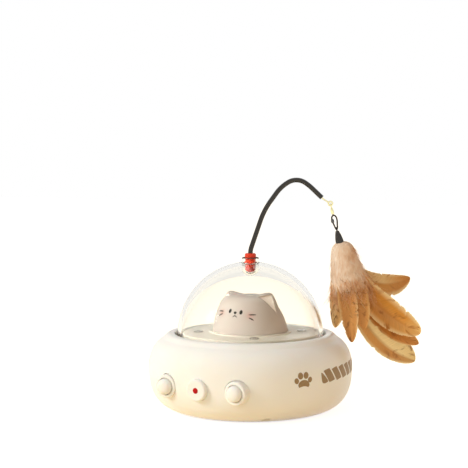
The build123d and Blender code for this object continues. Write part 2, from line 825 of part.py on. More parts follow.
with BuildPart() as drive_motor:
    with BuildSketch(Plane.XY.offset(gearbox_z)):
        with Locations((0, pinion_y)):
            Circle(gearbox_width / 2)
            Rectangle(gearbox_width, gearbox_depth, mode=Mode.INTERSECT)
    extrude(amount=cover_top_z + motor_floor_gap - gearbox_z)
save(drive_motor, "drive_motor")

with BuildPart() as gearbox_screws:
    with BuildSketch(Plane.XY.offset(chassis_top_z)):
        with Locations(*gearbox_places):
            Circle(1.4)
    extrude(amount=0.6)
    with BuildSketch(Plane.XY.offset(chassis_top_z)):
        with Locations(*gearbox_places):
            Circle(gearbox_screw_radius)
    extrude(amount=-chassis_thickness - 2.0)
save(gearbox_screws, "gearbox_screws")

# ---- laser disc: fixed nozzle in the front opening, bored for the sweeping barrel ----
with BuildPart() as laser_bezel:
    with BuildSketch(section(0, control_z)):
        with BuildLine():
            Polyline(
                (land_radius - flange_thickness, disc_bore_radius),
                (land_radius - flange_thickness, disc_radius + flange_overlap - flange_margin),
                (land_radius, disc_radius + flange_overlap - flange_margin),
                (land_radius, disc_radius),
                (disc_front - disc_edge, disc_radius),
            )
            RadiusArc(
                (disc_front - disc_edge, disc_radius),
                (disc_front, disc_radius - disc_edge),
                disc_edge,
            )
            Polyline(
                (disc_front, disc_radius - disc_edge),
                (disc_front, window_radius),
                (disc_front - disc_front_wall, window_radius),
                (disc_front - disc_front_wall, disc_bore_radius),
                (land_radius - flange_thickness, disc_bore_radius),
            )
        make_face()
    revolve(axis=radial(0, control_z))
save(laser_bezel, "laser_bezel")

with BuildPart() as laser_window:
    with BuildSketch(facing(0, control_z).offset(disc_front - disc_front_wall + window_setback)):
        Circle(window_radius - window_gap)
    extrude(amount=disc_front_wall - 2 * window_gap)
    fillet(laser_window.edges().sort_by(Axis.Y)[0], radius=0.2)
save(laser_window, "laser_window")

# ---- laser cradle: clip round the barrel, hub for the pivot pin, toothed sector ----
cradle_plate_top_z = cradle_plate_z + cradle_plate_thickness
sector_tip = cradle_reach + 0.8 * sweep_module
with BuildPart() as laser_cradle:
    with BuildSketch(Plane.XY.offset(cradle_plate_z)):
        with BuildLine():
            Polyline(
                (0, cradle_pivot_y),
                *gear_points(
                    sector_teeth,
                    sweep_module,
                    sector_tip,
                    cradle_reach - 1.1 * sweep_module,
                    -0.12,
                    90 - 360 / sector_teeth * 1.5,
                    (0, cradle_pivot_y),
                    count=4,
                ),
                close=True,
            )
        make_face()
        with Locations((0, cradle_pivot_y)):
            Rectangle(2 * cradle_half_width, cradle_length)
    extrude(amount=cradle_plate_thickness)
    with BuildSketch(Plane.XY.offset(control_z - 0.4 * barrel_radius)):
        with Locations((0, cradle_pivot_y)):
            Rectangle(2 * cradle_half_width, cradle_length)
    extrude(amount=cradle_plate_z - control_z + 0.4 * barrel_radius)
    with BuildSketch(facing(0, control_z)):
        Circle(barrel_radius + screw_clearance)
    extrude(amount=body_radius, mode=Mode.SUBTRACT)
    with BuildSketch(Plane.XY.offset(cradle_plate_top_z)):
        with Locations((0, cradle_pivot_y)):
            Circle(cradle_hub_radius)
    extrude(amount=chassis_z - cradle_plate_top_z - 0.3)
    with BuildSketch(Plane.XY.offset(cradle_plate_z + 0.4)):
        with Locations((0, cradle_pivot_y)):
            Circle(cradle_pin_radius + 0.02)
    extrude(amount=chassis_z - cradle_plate_z, mode=Mode.SUBTRACT)
save(laser_cradle, "laser_cradle")

with BuildPart() as laser_barrel:
    with BuildSketch(facing(0, control_z).offset(-barrel_front_y - barrel_length)):
        Circle(barrel_radius)
    extrude(amount=barrel_length)
    chamfer(laser_barrel.edges().sort_by(Axis.Y)[0], length=0.4)
    with BuildSketch(facing(0, control_z).offset(-barrel_front_y)):
        Circle(barrel_radius * 0.45)
    extrude(amount=-1.2, mode=Mode.SUBTRACT)
save(laser_barrel, "laser_barrel")

pin_top_z = chassis_top_z + running_gap + clip_thickness + 0.5
with BuildPart() as cradle_pin:
    with BuildSketch(Plane.XY.offset(cradle_plate_z + 0.6)):
        with Locations((0, cradle_pivot_y)):
            Circle(cradle_pin_radius)
    extrude(amount=pin_top_z - cradle_plate_z - 0.6)
    with BuildSketch(Plane.XY.offset(chassis_top_z + running_gap)):
        with Locations((0, cradle_pivot_y)):
            Circle(cradle_pin_radius)
            Circle(cradle_pin_radius - pin_groove, mode=Mode.SUBTRACT)
    extrude(amount=clip_thickness, mode=Mode.SUBTRACT)
save(cradle_pin, "cradle_pin")

with BuildPart() as pin_clip:
    with BuildSketch(Plane.XY.offset(chassis_top_z + running_gap)):
        with Locations((0, cradle_pivot_y)):
            Circle(clip_radius)
            Circle(cradle_pin_radius - pin_groove + 0.02, mode=Mode.SUBTRACT)
        with Locations((0, cradle_pivot_y - clip_radius)):
            Rectangle(clip_mouth, 2 * clip_radius, mode=Mode.SUBTRACT)
    extrude(amount=clip_thickness)
save(pin_clip, "pin_clip")

# ---- sweep motor, hung through the chassis, and its pinion with shaft ----
with BuildPart() as sweep_motor:
    with BuildSketch(Plane.XY.offset(sweep_motor_z)):
        with Locations((0, sweep_pinion_y)):
            Circle(sweep_motor_radius)
    extrude(amount=sweep_motor_height)
    with BuildSketch(Plane.XY.offset(chassis_z)):
        with Locations((0, sweep_pinion_y)):
            SlotOverall(2 * sweep_motor_radius + 7.0, 4.4)
    extrude(amount=-0.8)
    with BuildSketch(Plane.XY.offset(sweep_motor_z)):
        with Locations((0, sweep_pinion_y)):
            Circle(sweep_shaft_radius + running_gap)
    extrude(amount=3.0, mode=Mode.SUBTRACT)
save(sweep_motor, "sweep_motor")

with BuildPart() as sweep_pinion:
    with BuildSketch(Plane.XY.offset(cradle_plate_z - 0.2)):
        with BuildLine():
            Polyline(
                *gear_points(
                    sweep_pinion_teeth,
                    sweep_module,
                    sweep_pinion_teeth * sweep_module / 2 + 0.8 * sweep_module,
                    sweep_pinion_teeth * sweep_module / 2 - 1.1 * sweep_module,
                    -0.12,
                    270,
                    (0, sweep_pinion_y),
                ),
                close=True,
            )
        make_face()
    extrude(amount=cradle_plate_thickness + 0.3)
    with BuildSketch(Plane.XY.offset(cradle_plate_z)):
        with Locations((0, sweep_pinion_y)):
            Circle(sweep_shaft_radius)
    extrude(amount=sweep_motor_z + 2.8 - cradle_plate_z)
save(sweep_pinion, "sweep_pinion")

# ---- push buttons: domed cap, flange behind the wall, stem; switch plunger on each ----
switch_face = land_radius - flange_thickness - button_travel - switch_setback
board_face = switch_face - switch_depth
stem_end = switch_face + plunger_length
for side_name, angle in (("left", -button_angle), ("right", button_angle)):
    with BuildPart() as button:
        with BuildSketch(section(angle, control_z)):
            with BuildLine():
                front = body_radius + button_proud
                Polyline(
                    (stem_end, 0),
                    (stem_end, stem_radius),
                    (land_radius - 0.05 - flange_thickness, stem_radius),
                    (land_radius - 0.05 - flange_thickness, button_radius + button_flange),
                    (land_radius - 0.05, button_radius + button_flange),
                    (land_radius - 0.05, button_radius),
                    (front - button_crown, button_radius),
                )
                Bezier(
                    (front - button_crown, button_radius),
                    (front - 0.35 * button_crown, 0.93 * button_radius),
                    (front, 0.55 * button_radius),
                    (front, 0),
                )
                Line((front, 0), (stem_end, 0))
            make_face()
        revolve(axis=radial(angle, control_z))
    save(button, f"{side_name}_button")

    with BuildPart() as plunger:
        with BuildSketch(facing(angle, control_z).offset(switch_face - plunger_root)):
            Circle(plunger_radius)
        extrude(amount=stem_end - switch_face + plunger_root)
    save(plunger, f"{side_name}_plunger")

with BuildPart() as tact_switches:
    for angle in (-button_angle, button_angle):
        with BuildSketch(facing(angle, control_z).offset(board_face)):
            RectangleRounded(switch_body, switch_body, 0.4)
        extrude(amount=switch_depth)
        with BuildSketch(facing(angle, control_z).offset(switch_face)):
            Circle(plunger_radius + running_gap)
        extrude(amount=-plunger_root - button_travel - seat_gap, mode=Mode.SUBTRACT)
save(tact_switches, "tact_switches")

with BuildPart() as switch_boards:
    for angle in (-button_angle, button_angle):
        switch_board_drop = chassis_z - control_z + switch_board_tail
        board_middle = chassis_z - switch_board_drop / 2
        with BuildSketch(facing(angle, board_middle).offset(board_face)):
            Rectangle(switch_board_width, switch_board_drop)
        extrude(amount=-switch_board_thickness)
save(switch_boards, "switch_boards")

# ---- power and electronics ----
with BuildPart() as battery_cell:
    with BuildSketch(Plane.YZ.offset(-battery_length / 2)):
        with Locations((0, battery_z)):
            Circle(battery_radius)
    extrude(amount=battery_length - battery_cap)
    fillet(battery_cell.edges().filter_by(GeomType.CIRCLE), radius=0.6)
    with BuildSketch(Plane.YZ.offset(battery_length / 2 - battery_cap)):
        with Locations((0, battery_z)):
            Circle(battery_radius * 0.35)
    extrude(amount=battery_cap)
save(battery_cell, "battery_cell")

with BuildPart() as battery_contacts:
    contact_height = battery_floor_gap + battery_radius + 3.0
    for side in (-1, 1):
        with BuildSketch(Plane.YZ.offset(side * (battery_length / 2 + screw_clearance))):
            with Locations((0, cover_top_z + contact_height / 2)):
                Rectangle(contact_width, contact_height)
        extrude(amount=side * contact_thickness)
save(battery_contacts, "battery_contacts")

with BuildPart() as main_board:
    with BuildSketch(Plane.XY.offset(board_top_z - board_thickness)):
        with Locations((0, board_shift_y)):
            RectangleRounded(board_length, board_width, 2.0)
        with Locations(*board_places):
            Circle(screw_radius + running_gap, mode=Mode.SUBTRACT)
    extrude(amount=board_thickness)
    # control chip, inductor and battery plug on the upper face
    with BuildSketch(Plane.XY.offset(board_top_z)):
        with Locations((-4, board_shift_y + 2)):
            Rectangle(7.0, 7.0)
        with Locations((10, board_shift_y - 3)):
            RectangleRounded(5.0, 5.0, 1.0)
        with Locations((-15, board_shift_y - 4)):
            Rectangle(4.5, 6.0)
    extrude(amount=1.4)
save(main_board, "main_board")
board_screw_z = board_top_z - board_thickness
save(screws(board_places, board_screw_z, board_thickness + 4.0, head_up=False), "board_screws")

with BuildPart() as usb_board:
    with BuildSketch(Plane.XY.offset(usb_board_z)):
        with Locations((0, usb_board_end_y - usb_board_length / 2)):
            Rectangle(usb_board_width, usb_board_length)
    extrude(amount=usb_board_thickness)
save(usb_board, "usb_board")

usb_end = body_radius - usb_setback
with BuildPart() as usb_socket:
    with BuildSketch(facing(180, usb_axis_z).offset(usb_end - usb_length)):
        SlotOverall(usb_width, usb_height)
    extrude(amount=usb_length)
    with BuildSketch(facing(180, usb_axis_z).offset(usb_end)):
        SlotOverall(usb_width - 0.6, usb_height - 0.6)
    extrude(amount=-usb_length + 1.0, mode=Mode.SUBTRACT)
    with BuildSketch(facing(180, usb_axis_z).offset(usb_end - usb_length)):
        Rectangle(usb_width - 2.4, 0.7)
    extrude(amount=usb_length - 1.6)
save(usb_socket, "usb_socket")

# ---- wand: rubber plug, bent sprung tube, tip wire with its eye ----
plug_floor_z = socket_floor_z + plug_floor_gap
with BuildPart() as wand_plug:
    with BuildSketch(Plane.XZ):
        with BuildLine():
            Bezier(
                (0, plug_floor_z),
                (0.6 * plug_radius, plug_floor_z),
                (plug_radius, plug_floor_z + 0.3 * plug_radius),
                (plug_radius, plug_floor_z + 0.9 * plug_radius),
            )
            Polyline(
                (plug_radius, plug_floor_z + 0.9 * plug_radius),
                (plug_radius, socket_rim_z - 2.9),
                (plug_rib_radius, socket_rim_z - 2.6),
                (plug_rib_radius, socket_rim_z - 2.0),
                (plug_radius, socket_rim_z - 1.7),
                (plug_radius, socket_rim_z - 0.6),
                (plug_radius + 0.25, socket_rim_z - 0.2),
                (plug_radius + 0.25, plug_top_z - 0.5),
                (plug_radius - 0.25, plug_top_z),
                (0, plug_top_z),
                (0, plug_floor_z),
            )
        make_face()
    revolve(axis=Axis.Z)
    with BuildSketch(Plane.XY.offset(plug_top_z)):
        Circle(tube_radius + screw_clearance)
    extrude(amount=-(plug_top_z - socket_rim_z) - 4.0, mode=Mode.SUBTRACT)
save(wand_plug, "wand_plug")

tube_foot_z = socket_rim_z - 3.9
tube_bend_z = plug_top_z + 1.7
tube_reach = body_radius - tube_inset
bend_shares = [(0.19, 0.547), (0.43, 0.873), (0.651, 1.0), (0.82, 0.888), (1.0, 0.72)]
tube_route = [(0, tube_foot_z), (0, tube_bend_z)] + [
    (out * tube_reach, tube_bend_z + up * tube_rise) for out, up in bend_shares
]
tube_bends = [10, 40, 21, 8.5, 25]
tube_end = Vector(*tube_route[-1])
tube_way = (tube_end - Vector(*tube_route[-2])).normalized()
tip_plane = Plane(
    origin=wand_plane.from_local_coords(tube_end),
    x_dir=wand_plane.z_dir,
    z_dir=wand_plane.from_local_coords(tube_way).normalized(),
)

with BuildPart() as wand_tube:
    with BuildLine(wand_plane):
        FilletPolyline(*tube_route, radius=tube_bends)
    with BuildSketch(Plane.XY.offset(tube_foot_z)):
        Circle(tube_radius)
    sweep()
    with BuildSketch(tip_plane):
        Circle(tip_wire_radius + screw_clearance)
    extrude(amount=-wire_seat, mode=Mode.SUBTRACT)
save(wand_tube, "wand_tube")

# ---- hanging hardware, stacked up the leaning line from the mouth of the lure's sleeve ----
lure_ring_y = sleeve_length + link_radius - 0.1
snap_bottom_y = lure_ring_y + link_radius - 2 * tip_wire_radius - link_gap
snap_low_y = snap_bottom_y + snap_radius
snap_high_y = snap_low_y + snap_straight
snap_top_y = snap_high_y + snap_radius
swivel_floor_y = snap_top_y + tip_wire_radius + 0.2
swivel_top_y = swivel_floor_y + barrel_swivel_length
swivel_ring_y = swivel_top_y + 0.8 * link_radius
eye_y = swivel_ring_y + 2 * link_radius - 2 * tip_wire_radius - link_gap

mouth_plane = Plane(
    origin=wand_plane.from_local_coords(tube_end + Vector(mouth_reach, -mouth_drop)),
    x_dir=wand_plane.x_dir,
    z_dir=wand_plane.z_dir,
)
lure_plane = turned(mouth_plane, about_z=hang_tilt)
lure_line = Axis(lure_plane.origin, lure_plane.y_dir)


def ring_plane(y, edge_on):
    """Plane of a small ring on the hanging line: seen face on, or edge on from the wand's side."""
    return Plane(
        origin=lure_plane.from_local_coords(Vector(0, y)),
        x_dir=lure_plane.y_dir,
        z_dir=lure_plane.x_dir if edge_on else lure_plane.z_dir,
    )


with BuildPart() as tip_wire:
    wire_start = tube_end - tube_way * (wire_seat - 0.1)
    wire_corner = tube_end + tube_way * 1.2
    eye_place = wand_plane.to_local_coords(ring_plane(eye_y, edge_on=False).origin)
    eye_rim = eye_place + (wire_corner - eye_place).normalized() * link_radius
    with BuildLine(wand_plane):
        FilletPolyline(
            (wire_start.X, wire_start.Y),
            (wire_corner.X, wire_corner.Y),
            (eye_rim.X, eye_rim.Y),
            radius=1.5,
        )
    with BuildSketch(
        Plane(origin=wand_plane.from_local_coords(wire_start), z_dir=tip_plane.z_dir)
    ):
        Circle(tip_wire_radius)
    sweep()
    with Locations(ring_plane(eye_y, edge_on=False)):
        Torus(link_radius, tip_wire_radius + eye_wire_extra)
save(tip_wire, "tip_wire")

with BuildPart() as swivel_barrel:
    stem_hole = tip_wire_radius + screw_clearance
    cavity = stem_head_radius + running_gap
    shoulder = 0.7 * barrel_swivel_radius
    with BuildSketch(lure_plane):
        with BuildLine():
            ThreePointArc(
                (shoulder, swivel_floor_y),
                (barrel_swivel_radius, swivel_floor_y + barrel_swivel_length / 2),
                (shoulder, swivel_top_y),
            )
            Polyline(
                (shoulder, swivel_top_y),
                (0, swivel_top_y),
                (0, swivel_floor_y + 3 * swivel_wall),
                (cavity, swivel_floor_y + 3 * swivel_wall),
                (cavity, swivel_floor_y + swivel_wall),
                (stem_hole, swivel_floor_y + swivel_wall),
                (stem_hole, swivel_floor_y),
                (shoulder, swivel_floor_y),
            )
        make_face()
    revolve(axis=lure_line)
    with Locations(ring_plane(swivel_ring_y, edge_on=True)):
        Torus(link_radius, tip_wire_radius)
save(swivel_barrel, "swivel_barrel")

with BuildPart() as snap_clip:
    for height, turn in ((snap_high_y, 0), (snap_low_y, 180)):
        with Locations(turned(ring_plane(height, edge_on=False), about_z=turn - 90)):
            Torus(snap_radius, tip_wire_radius, major_angle=180, align=None)
    with BuildSketch(
        Plane(
            origin=lure_plane.from_local_coords(Vector(0, snap_low_y)),
            x_dir=lure_plane.x_dir,
            z_dir=lure_plane.y_dir,
        )
    ):
        with GridLocations(2 * snap_radius, 0, 2, 1):
            Circle(tip_wire_radius)
    extrude(amount=snap_straight)
    with BuildSketch(lure_plane):
        with BuildLine():
            Polyline(
                (0, snap_top_y),
                (tip_wire_radius, snap_top_y),
                (tip_wire_radius, swivel_floor_y + swivel_wall + 0.1),
                (stem_head_radius, swivel_floor_y + swivel_wall + 0.1),
                (stem_head_radius, swivel_floor_y + swivel_wall + 0.1 + stem_head_height),
                (0, swivel_floor_y + swivel_wall + 0.1 + stem_head_height),
                close=True,
            )
        make_face()
    revolve(axis=lure_line)
save(snap_clip, "snap_clip")

# ---- lure: ring, crimp sleeve, fanned feather blades and two tufts of down ----
with BuildPart() as crimp_sleeve:
    with BuildSketch(lure_plane):
        with BuildLine():
            Polyline(
                (0, sleeve_bore_depth),
                (sleeve_bore_radius, sleeve_bore_depth),
                (sleeve_bore_radius, 0),
                (sleeve_mouth_radius - 0.1, 0),
                (sleeve_mouth_radius, 0.3),
                (sleeve_mouth_radius - 0.15, 0.36 * sleeve_length),
                (sleeve_top_radius + 0.3, 0.82 * sleeve_length),
                (sleeve_top_radius, sleeve_length),
                (0, sleeve_length),
                close=True,
            )
        make_face()
    revolve(axis=lure_line)
    with Locations(ring_plane(lure_ring_y, edge_on=True)):
        Torus(link_radius, tip_wire_radius + 0.02, mode=Mode.SUBTRACT)
save(crimp_sleeve, "crimp_sleeve")

with BuildPart() as lure_ring:
    with Locations(ring_plane(lure_ring_y, edge_on=True)):
        Torus(link_radius, tip_wire_radius)
save(lure_ring, "lure_ring")


def feather(quill_x, tip, bow, half_width, lean, vane_from=0.22):
    """Flat blade: quill from the sleeve's bore along a bowed shaft, vane widest past the middle."""
    plane = turned(lure_plane, about_x=lean)
    foot, far = Vector(quill_x, 0), Vector(*tip)
    control = Vector(quill_x, 0) + Vector(bow[0], bow[1])

    def shaft(t, side):
        point = foot * (1 - t) ** 2 + control * 2 * t * (1 - t) + far * t**2
        way = ((control - foot) * 2 * (1 - t) + (far - control) * 2 * t).normalized()
        along = max(0.0, (t - vane_from) / (1 - vane_from))
        spread = quill_radius + half_width * sin(pi * along**1.25) ** 0.75
        return point + Vector(-way.Y, way.X) * side * spread

    stations = [vane_from + (1 - vane_from) * i / 6 for i in range(7)]
    with BuildPart() as blade:
        with BuildSketch(plane.offset(-blade_thickness / 2)):
            with BuildLine():
                right = Spline(*[shaft(t, 1) for t in stations[:-1]], far)
                left = Spline(*[shaft(t, -1) for t in stations[:-1]], far)
                Polyline(
                    right @ 0,
                    shaft(vane_from / 2, 1),
                    shaft(0, 1),
                    (quill_x + quill_radius, sleeve_bore_depth - 0.1),
                    (quill_x - quill_radius, sleeve_bore_depth - 0.1),
                    shaft(0, -1),
                    shaft(vane_from / 2, -1),
                    left @ 0,
                )
            make_face()
        extrude(amount=blade_thickness)
    return blade


save(feather(1.0, (32.4, -27.7), (11.6, -6.8), 5.0, 0), "feather_upper")
save(feather(0.7, (30.3, -55.5), (10.5, -22.7), 6.5, 5), "feather_golden")
save(feather(0.35, (22.6, -74.3), (7.7, -34.6), 9.0, -5), "feather_large")
save(feather(0.0, (5.0, -61.7), (3.0, -30.3), 7.0, 10), "feather_middle")
save(feather(-1.0, (-6.8, -53.1), (-2.7, -25.9), 5.0, -10), "feather_inner")
save(feather(-0.7, (-13.7, -45.8), (-5.4, -21.7), 4.5, 15), "feather_left")
save(feather(-0.35, (13.7, -65.1), (4.9, -32.4), 7.0, -15), "feather_front")

# soft tufts of down in front of and behind the fan
for name, side in (("down_front", 1), ("down_back", -1)):
    tuft_plane = turned(lure_plane.offset(side * down_offset), about_x=-down_splay * side)
    with BuildPart() as tuft:
        with BuildSketch(tuft_plane.offset(-down_thickness / 2)):
            with BuildLine():
                Spline(
                    (-2.4, -0.6),
                    (-5.9, -5.6),
                    (-10.4, -23.4),
                    (-2.9, -27.9),
                    (6.4, -25.0),
                    (11.3, -18.8),
                    (8.9, -6.6),
                    (3.6, -0.6),
                )
                Line((3.6, -0.6), (-2.4, -0.6))
            make_face()
        extrude(amount=down_thickness)
    save(tuft, name)
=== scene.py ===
import math
import random

import bmesh
import bpy
from mathutils import Matrix, Vector, noise
from mathutils.bvhtree import BVHTree


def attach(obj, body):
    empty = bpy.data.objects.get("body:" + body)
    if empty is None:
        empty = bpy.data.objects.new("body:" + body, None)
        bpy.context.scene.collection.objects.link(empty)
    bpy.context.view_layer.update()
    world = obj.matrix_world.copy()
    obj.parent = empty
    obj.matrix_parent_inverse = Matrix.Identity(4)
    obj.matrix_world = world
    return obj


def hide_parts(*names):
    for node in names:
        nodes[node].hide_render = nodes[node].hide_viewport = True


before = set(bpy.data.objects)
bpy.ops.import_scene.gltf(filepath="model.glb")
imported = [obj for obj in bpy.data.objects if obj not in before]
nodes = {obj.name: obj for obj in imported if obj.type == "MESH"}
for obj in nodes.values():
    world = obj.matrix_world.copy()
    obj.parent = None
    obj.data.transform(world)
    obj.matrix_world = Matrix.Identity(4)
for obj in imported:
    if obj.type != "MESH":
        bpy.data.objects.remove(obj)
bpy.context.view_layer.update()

mm = 0.001
print("frame loaded,", len(nodes), "nodes")


# small tools
def linear(code):  # "#rrggbb" as linear red, green, blue and alpha
    parts = [int(code[i : i + 2], 16) / 255 for i in (1, 3, 5)]
    curve = [p / 12.92 if p <= 0.04045 else ((p + 0.055) / 1.055) ** 2.4 for p in parts]
    return (*curve, 1.0)


# inputs go in by order, by name or, as i6, by number; a node given as one is linked by its first output
def addNode(tree, kind, settings=None, *ordered, **named):
    node = tree.nodes.new("ShaderNode" + kind)
    for name, value in (settings or {}).items():
        if name == "stops":
            ramp = node.color_ramp.elements
            while len(ramp) < len(value):
                ramp.new(0.5)
            for element, (place, colour) in zip(ramp, value):
                element.position = place
                element.color = linear(colour)
        else:
            setattr(node, name, value)
    numbered = {f"i{i}": value for i, value in enumerate(ordered)}
    for name, value in {**numbered, **named}.items():
        key = int(name[1:]) if name[0] == "i" and name[1:].isdigit() else name.replace("_", " ")
        socket = node.inputs[key]
        if isinstance(value, bpy.types.Node):
            value = value.outputs[0]
        if isinstance(value, bpy.types.NodeSocket):
            tree.links.new(value, socket)
        else:
            socket.default_value = value
    return node


def newMaterial(name):
    material = bpy.data.materials.new(name)
    material.use_nodes = True
    material.node_tree.nodes.clear()
    return material, material.node_tree


plastic = {"glossSpread": 0.04, "grainHeight": 0.00002, "ior": 1.49, "scatter": 0.002, "coatRoughness": 0.12}


# moulded plastic: nearly even colour, faint cloudiness from the melt, spark-eroded grain in the gloss
def mouldedPlastic(name, look):
    material, tree = newMaterial(name)
    place = addNode(tree, "TexCoord").outputs["Object"]
    cloud = addNode(tree, "TexNoise", Vector=place, Scale=1000 / look["cloudMm"], Detail=3.0)
    tone = addNode(tree, "ValToRGB", {"stops": [(0.35, look["low"]), (0.65, look["high"])]}, Fac=cloud)
    grain = addNode(tree, "TexNoise", Vector=place, Scale=1000 / look["grainMm"], Detail=2.0)
    middle, spread = look["roughness"], plastic["glossSpread"]
    gloss = addNode(tree, "MapRange", {}, grain, 0, 1, middle - spread, middle + spread)
    relief = addNode(tree, "Bump", Strength=look["relief"], Distance=plastic["grainHeight"], Height=grain)
    shader = addNode(
        tree, "BsdfPrincipled", Base_Color=tone, Roughness=gloss, Normal=relief, IOR=plastic["ior"],
        Subsurface_Weight=look.get("depth", 0.0), Subsurface_Scale=plastic["scatter"],
        Coat_Weight=look.get("coat", 0.0), Coat_Roughness=plastic["coatRoughness"],
    )
    addNode(tree, "OutputMaterial", Surface=shader)
    return material


# metal: turned or drawn, so fine lines run in one direction and the gloss varies along them
def workedMetal(name, look, glossSpread=0.06):
    material, tree = newMaterial(name)
    place = addNode(tree, "TexCoord").outputs["Object"]
    stretch = addNode(tree, "Mapping", Vector=place, Scale=look["lines"])
    lines = addNode(tree, "TexNoise", Vector=stretch, Scale=1000 / look["grainMm"], Detail=3.0)
    tone = addNode(tree, "ValToRGB", {"stops": [(0.3, look["low"]), (0.7, look["high"])]}, Fac=lines)
    middle = look["roughness"]
    gloss = addNode(tree, "MapRange", {}, lines, 0, 1, middle - glossSpread, middle + glossSpread)
    shader = addNode(tree, "BsdfPrincipled", Base_Color=tone, Metallic=1.0, Roughness=gloss)
    addNode(tree, "OutputMaterial", Surface=shader)
    return material


def dress(material, *names):
    for name in names:
        held = nodes[name].data.materials
        held.clear()
        held.append(material)


# finishes for the solid pieces
shellAbs = mouldedPlastic(  # satin cream, so its highlights are soft and broad
    "shell_abs_cream",
    {
        "low": "#f5f2ec", "high": "#f9f7f3", "cloudMm": 30, "grainMm": 0.5,
        "roughness": 0.36, "relief": 0.10, "depth": 0.12, "coat": 0.15,
    },
)
deckAbs = mouldedPlastic(  # smoother and a little darker than the shell
    "deck_abs_pale",
    {
        "low": "#e3ded2", "high": "#e8e3d7", "cloudMm": 22, "grainMm": 0.5,
        "roughness": 0.34, "relief": 0.08, "depth": 0.08,
    },
)
coverAbs = mouldedPlastic(  # coarse texture that kills the shine
    "cover_abs_textured",
    {"low": "#ebe2cd", "high": "#efe7d4", "cloudMm": 20, "grainMm": 0.8, "roughness": 0.55, "relief": 0.5},
)
innerAbs = mouldedPlastic(  # undyed and plain from the tool
    "chassis_abs_natural",
    {"low": "#dcd9d0", "high": "#e2dfd6", "cloudMm": 18, "grainMm": 0.6, "roughness": 0.5, "relief": 0.2},
)
gearAcetal = mouldedPlastic(  # waxy white that lets a little light in
    "gear_acetal_white",
    {
        "low": "#ecebe6", "high": "#f3f2ee", "cloudMm": 9, "grainMm": 0.4,
        "roughness": 0.38, "relief": 0.1, "depth": 0.1,
    },
)
switchNylon = mouldedPlastic(  # dull black
    "switch_nylon_black",
    {"low": "#1b1b1c", "high": "#232324", "cloudMm": 6, "grainMm": 0.3, "roughness": 0.45, "relief": 0.2},
)
plugSilicone = mouldedPlastic(  # soft dyed rubber, deep colour and little shine
    "plug_silicone_orange",
    {
        "low": "#de3410", "high": "#e73d17", "cloudMm": 5, "grainMm": 0.3,
        "roughness": 0.42, "relief": 0.15, "depth": 0.15,
    },
)
footRubber = mouldedPlastic(  # flat grey
    "foot_rubber_grey",
    {"low": "#8f8b84", "high": "#99958e", "cloudMm": 6, "grainMm": 0.4, "roughness": 0.75, "relief": 0.4},
)
sleeveRubber = mouldedPlastic(  # black with a faint sheen
    "sleeve_rubber_black",
    {"low": "#23201e", "high": "#2e2a27", "cloudMm": 3, "grainMm": 0.3, "roughness": 0.4, "relief": 0.3},
)
wandCoat = mouldedPlastic(  # smooth drawn skin with one thin bright streak
    "wand_pvc_dark_brown",
    {"low": "#1a1711", "high": "#231f18", "cloudMm": 8, "grainMm": 0.3, "roughness": 0.3, "relief": 0.1},
)
boardLacquer = mouldedPlastic(  # glossy green over glass cloth
    "board_soldermask_green",
    {"low": "#1a5a35", "high": "#20663d", "cloudMm": 7, "grainMm": 0.5, "roughness": 0.3, "relief": 0.2},
)
cellWrap = mouldedPlastic(  # tight shrunk film, shiny
    "cell_wrap_blue",
    {"low": "#2f6da8", "high": "#3777b3", "cloudMm": 20, "grainMm": 0.7, "roughness": 0.28, "relief": 0.1},
)
platedSteel = workedMetal(  # bright warm grey
    "steel_nickel_plated",
    {"low": "#b9b7b2", "high": "#dad8d3", "grainMm": 0.4, "lines": (1, 1, 6), "roughness": 0.22},
)
castIron = workedMetal(  # dull, without a lay
    "ballast_iron_plain",
    {"low": "#5b5b5d", "high": "#6c6c6e", "grainMm": 0.7, "lines": (1, 1, 1), "roughness": 0.55},
)
canMetal = workedMetal(  # drawn, so its lines run up the can
    "motor_can_drawn",
    {"low": "#b5b5b7", "high": "#cdcdcf", "grainMm": 0.5, "lines": (5, 5, 1), "roughness": 0.3},
)
turnedBrass = workedMetal(  # yellow, with the lathe's lines
    "brass_turned",
    {"low": "#c4ab6c", "high": "#e0cd96", "grainMm": 0.3, "lines": (1, 1, 8), "roughness": 0.22},
)
paleBrass = workedMetal(  # thin pale gold over bright brass
    "brass_pale_flash",
    {"low": "#d9d09c", "high": "#f2ecc6", "grainMm": 0.3, "lines": (1, 1, 6), "roughness": 0.25},
)
blackWire = workedMetal(  # dark wire that still glints
    "wire_black_oxide",
    {"low": "#241f1b", "high": "#39322c", "grainMm": 0.4, "lines": (1, 1, 6), "roughness": 0.35},
)

dress(shellAbs, "upper_housing", "laser_bezel", "left_button", "right_button")
dress(deckAbs, "deck_plate")
dress(coverAbs, "bottom_cover")
dress(shellAbs, "cat_head")  # hidden by the shaped head
dress(innerAbs, "chassis")
dress(gearAcetal, "ring_gear", "drive_pinion", "sweep_pinion", "laser_cradle")
dress(switchNylon, "tact_switches", "left_plunger", "right_plunger")
dress(plugSilicone, "wand_plug")
dress(footRubber, "rubber_feet")
dress(sleeveRubber, "crimp_sleeve")
dress(wandCoat, "wand_tube")
dress(boardLacquer, "main_board", "usb_board", "switch_boards")
dress(cellWrap, "battery_cell")
dress(platedSteel, "cover_screws", "chassis_screws", "deck_screws", "head_screws", "gearbox_screws")
dress(platedSteel, "board_screws", "cradle_pin", "pin_clip", "drive_shaft")
dress(blackWire, "snap_clip", "lure_ring")
dress(paleBrass, "tip_wire", "swivel_barrel")
dress(castIron, "ballast_weights")
dress(canMetal, "sweep_motor", "drive_motor", "usb_socket")
dress(turnedBrass, "drive_gearbox", "laser_barrel", "battery_contacts")

